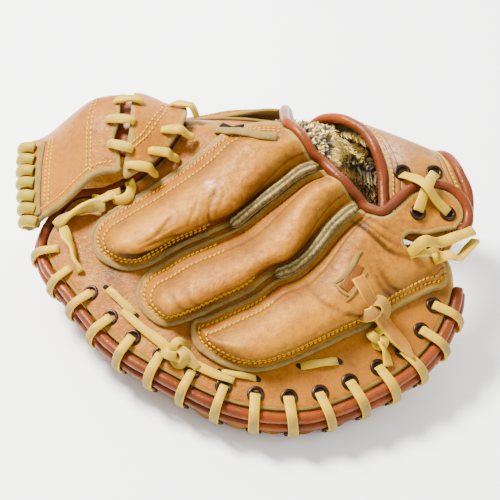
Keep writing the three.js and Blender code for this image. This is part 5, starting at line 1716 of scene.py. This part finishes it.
def window():
    """The cut window of the little-finger stall, with raw edges, and leather under it darkened as painted shade."""
    rows = [
        [(48, -99), (53, -95.5), (59, -90.5), (64.5, -83.5), (67.5, -81)],
        [(48, -99), (51.5, -102), (56, -105)],
        [(54, -108), (58, -104.5), (63, -98.5), (69.5, -92)],
    ]
    wide = [1.9, 1.0, 1.0]
    made = []
    for i, (row, width) in enumerate(zip(rows, wide)):
        path = over_skin([(*p, 0.5) for p in spline(np.array(row, float))])
        path = even(path, 1.0)
        place = leaning("ring")
        middles = place(*path.T)
        ends = np.sin(np.linspace(0.12, math.pi - 0.12, len(path))) ** 0.5
        made.append(sweep(f"window_{i}", middles, flat_sides(path), ring_section(10), width * ends * MM, 0.8 * ends * MM,
                          [TRIM], {"round": np.zeros(len(path) * 10)}))
    piece(join("window_edges", made), "raw_leather")
    rows = [(53, -101.5, 0.1), (57, -97.5, 0.1), (61, -93, 0.1), (64.5, -88.5, 0.1)]
    route = even(spline(over_skin(rows)), 1.2)
    # The leather under the window is darkened as painted shade.
    inner = sweep("window_inside", leaning("ring")(*route.T), flat_sides(route), ring_section(12), 3.6 * MM, 0.35 * MM, [BACK],
                  {"painted_shade": np.full(len(route) * 12, 0.3), "edge": np.full(len(route) * 12, 100.0)})
    piece(inner, "back_leather")


def tab_and_strip():
    strip_rows = [(-22, -1.5), (-14, -6), (-6, -10), (6, -13), (17, -13.5)]
    route = even(over_skin([(x, s, 1.4) for x, s in strip_rows]), 1.2)
    pale = strip("pale_strip", route, 5.5, 2.2, TRIM, attributes={"round": np.zeros(len(route) * 10)})
    piece(pale, "raw_leather")
    route = even(over_skin([(-19, 1.5, 3.4), (-12, -2, 3.8), (-5, -5.5, 3.4)]), 1.2)
    dark = strip("dark_tab", route, 4.5, 1.6, BLACK)
    piece(dark, "raw_leather")


def wool_locks(name, roots, growth, seed, size=(6.0, 10.0), deep=None):
    """Curled locks of wool from root places in metres, along growth directions."""
    random = np.random.default_rng(seed)
    count = len(roots)
    lean = random.normal(0, 0.5, (count, 3))
    length = random.uniform(*size, count) * MM
    along = growth + 0.55 * lean
    along /= np.linalg.norm(along, axis=1)[:, None]
    curl = np.cross(along, lean + 1e-6)
    curl /= np.linalg.norm(curl, axis=1)[:, None]
    side = np.cross(along, curl)
    rings, sides = 6, 5
    angles = np.linspace(0, 2 * math.pi, sides, endpoint=False)
    points, shares = [], []
    # deep darkens a whole lock, as painted shade.
    depth = np.zeros(count) if deep is None else deep
    for r in range(rings):
        f = r / (rings - 1)
        radius = (1.5 * (1 - f) ** 0.6 + 0.15) * MM
        middle = roots + along * (length * f)[:, None] + curl * (length * 0.3 * math.sin(2.8 * f))[:, None]
        middle[:, 2] -= length * 0.25 * f**2
        for a in angles:
            points.append(middle + (curl * math.cos(a) + side * math.sin(a)) * radius)
            shares.append(np.clip(f - depth, 0, 1))
    points = np.stack(points, 1).reshape(-1, 3)
    shares = np.stack(shares, 1).ravel()
    per = rings * sides
    faces = [(r * sides + k, r * sides + (k + 1) % sides, (r + 1) * sides + (k + 1) % sides, (r + 1) * sides + k)
             for r in range(rings - 1) for k in range(sides)]
    every = (np.array(faces)[None] + np.arange(count)[:, None, None] * per).reshape(-1, 4)
    return piece(make_object(name, points, every, {"share": shares}, [WOOL]), "fleece")


def wrist_wool(palm):
    """Wool inside the wrist opening: on the palm's edge there and on the leather beside it."""
    mesh = palm.data
    mesh.calc_loop_triangles()
    corners = np.array([v.co for v in mesh.vertices])
    triangles = np.array([t.vertices[:] for t in mesh.loop_triangles])
    a, b, c = (corners[triangles[:, k]] for k in range(3))
    normal = np.cross(b - a, c - a)
    area = np.linalg.norm(normal, axis=1) / 2
    normal /= np.maximum(np.linalg.norm(normal, axis=1), 1e-12)[:, None]
    middle = (a + b + c) / 3 / MM
    keep = (middle[:, 0] > 56) & (middle[:, 0] < 118) & (middle[:, 1] > 44) & (middle[:, 2] > 47)
    keep &= (normal[:, 1] < 0.2) & (normal[:, 2] < 0.85)
    random = np.random.default_rng(21)
    count = 3000
    chosen = random.choice(np.where(keep)[0], count, p=area[keep] / area[keep].sum())
    u, v = random.random((2, count))
    turned = u + v > 1
    u[turned], v[turned] = 1 - u[turned], 1 - v[turned]
    roots = a[chosen] + (b - a)[chosen] * u[:, None] + (c - a)[chosen] * v[:, None]
    # Painted shade: locks lower in the wrist opening start darker.
    deep = 0.5 * smoothstep(90 - roots[:, 2] / MM, 0, 30)
    wool_locks("wrist_wool", roots, normal[chosen] + [0, 0, -0.25], 22, (7, 12), deep)

    count = 620
    x = random.uniform(20, 70, count)
    s = random.uniform(-22, 34, count)
    keep = inside(PALM_EDGE, x, s) & ~inside(STALLS["index"]["outline"], x, s) & ~inside(STALLS["middle"]["outline"], x, s)
    keep &= distance(STALLS["index"]["mouth"], x, s) > 8
    x, s = x[keep], s[keep]
    roots = fold(x, s, BASE_TOP)
    wool_locks("ridge_wool", roots, up(x, s), 23, (4.5, 7.5), random.uniform(0, 0.5, len(x)))


OLD_LACE = rawhide("old_lace", (0.25, 0.19, 0.003, 1), (0.17, 0.14, 0.03, 1))
BLACK = lining("black_tape", (0.0104, 0.00959, 0.0108, 1), (0.00512, 0.00457, 0.00554, 1))


def trim_pieces():
    loose_laces()
    bars()
    web_trim()
    web_backing()
    strap_trim()
    window()
    tab_and_strip()
    wrist_wool(bpy.data.objects["palm"])
    places, along, aside, normal = [], [], [], []
    for share in FINGER_LOOPS[1:15]:
        here, run, away = on_rim(share)
        low = -17.5
        spot = beside(here[None], away[None], 7.2, low)[0]
        middle = fold(spot[0], spot[1], low)
        ahead = fold(spot[0] + run[0], spot[1] + run[1], low) - middle
        drop = fold(spot[0], spot[1], low - 1) - middle
        out = np.cross(ahead, drop)
        outwards = fold(*(spot + away), low) - middle
        out *= np.sign(out @ outwards)
        places.append(middle)
        along.append(ahead / np.linalg.norm(ahead))
        normal.append(out / np.linalg.norm(out))
        aside.append(np.cross(normal[-1], along[-1]))
    shape, faces = ring_shape(3.9, 1.1)
    rims = copies("palm_eyelets", shape, faces, np.array(places), np.array(along), np.array(aside), np.array(normal), EYELET)
    piece(rims, "palm_leather")


trim_pieces()
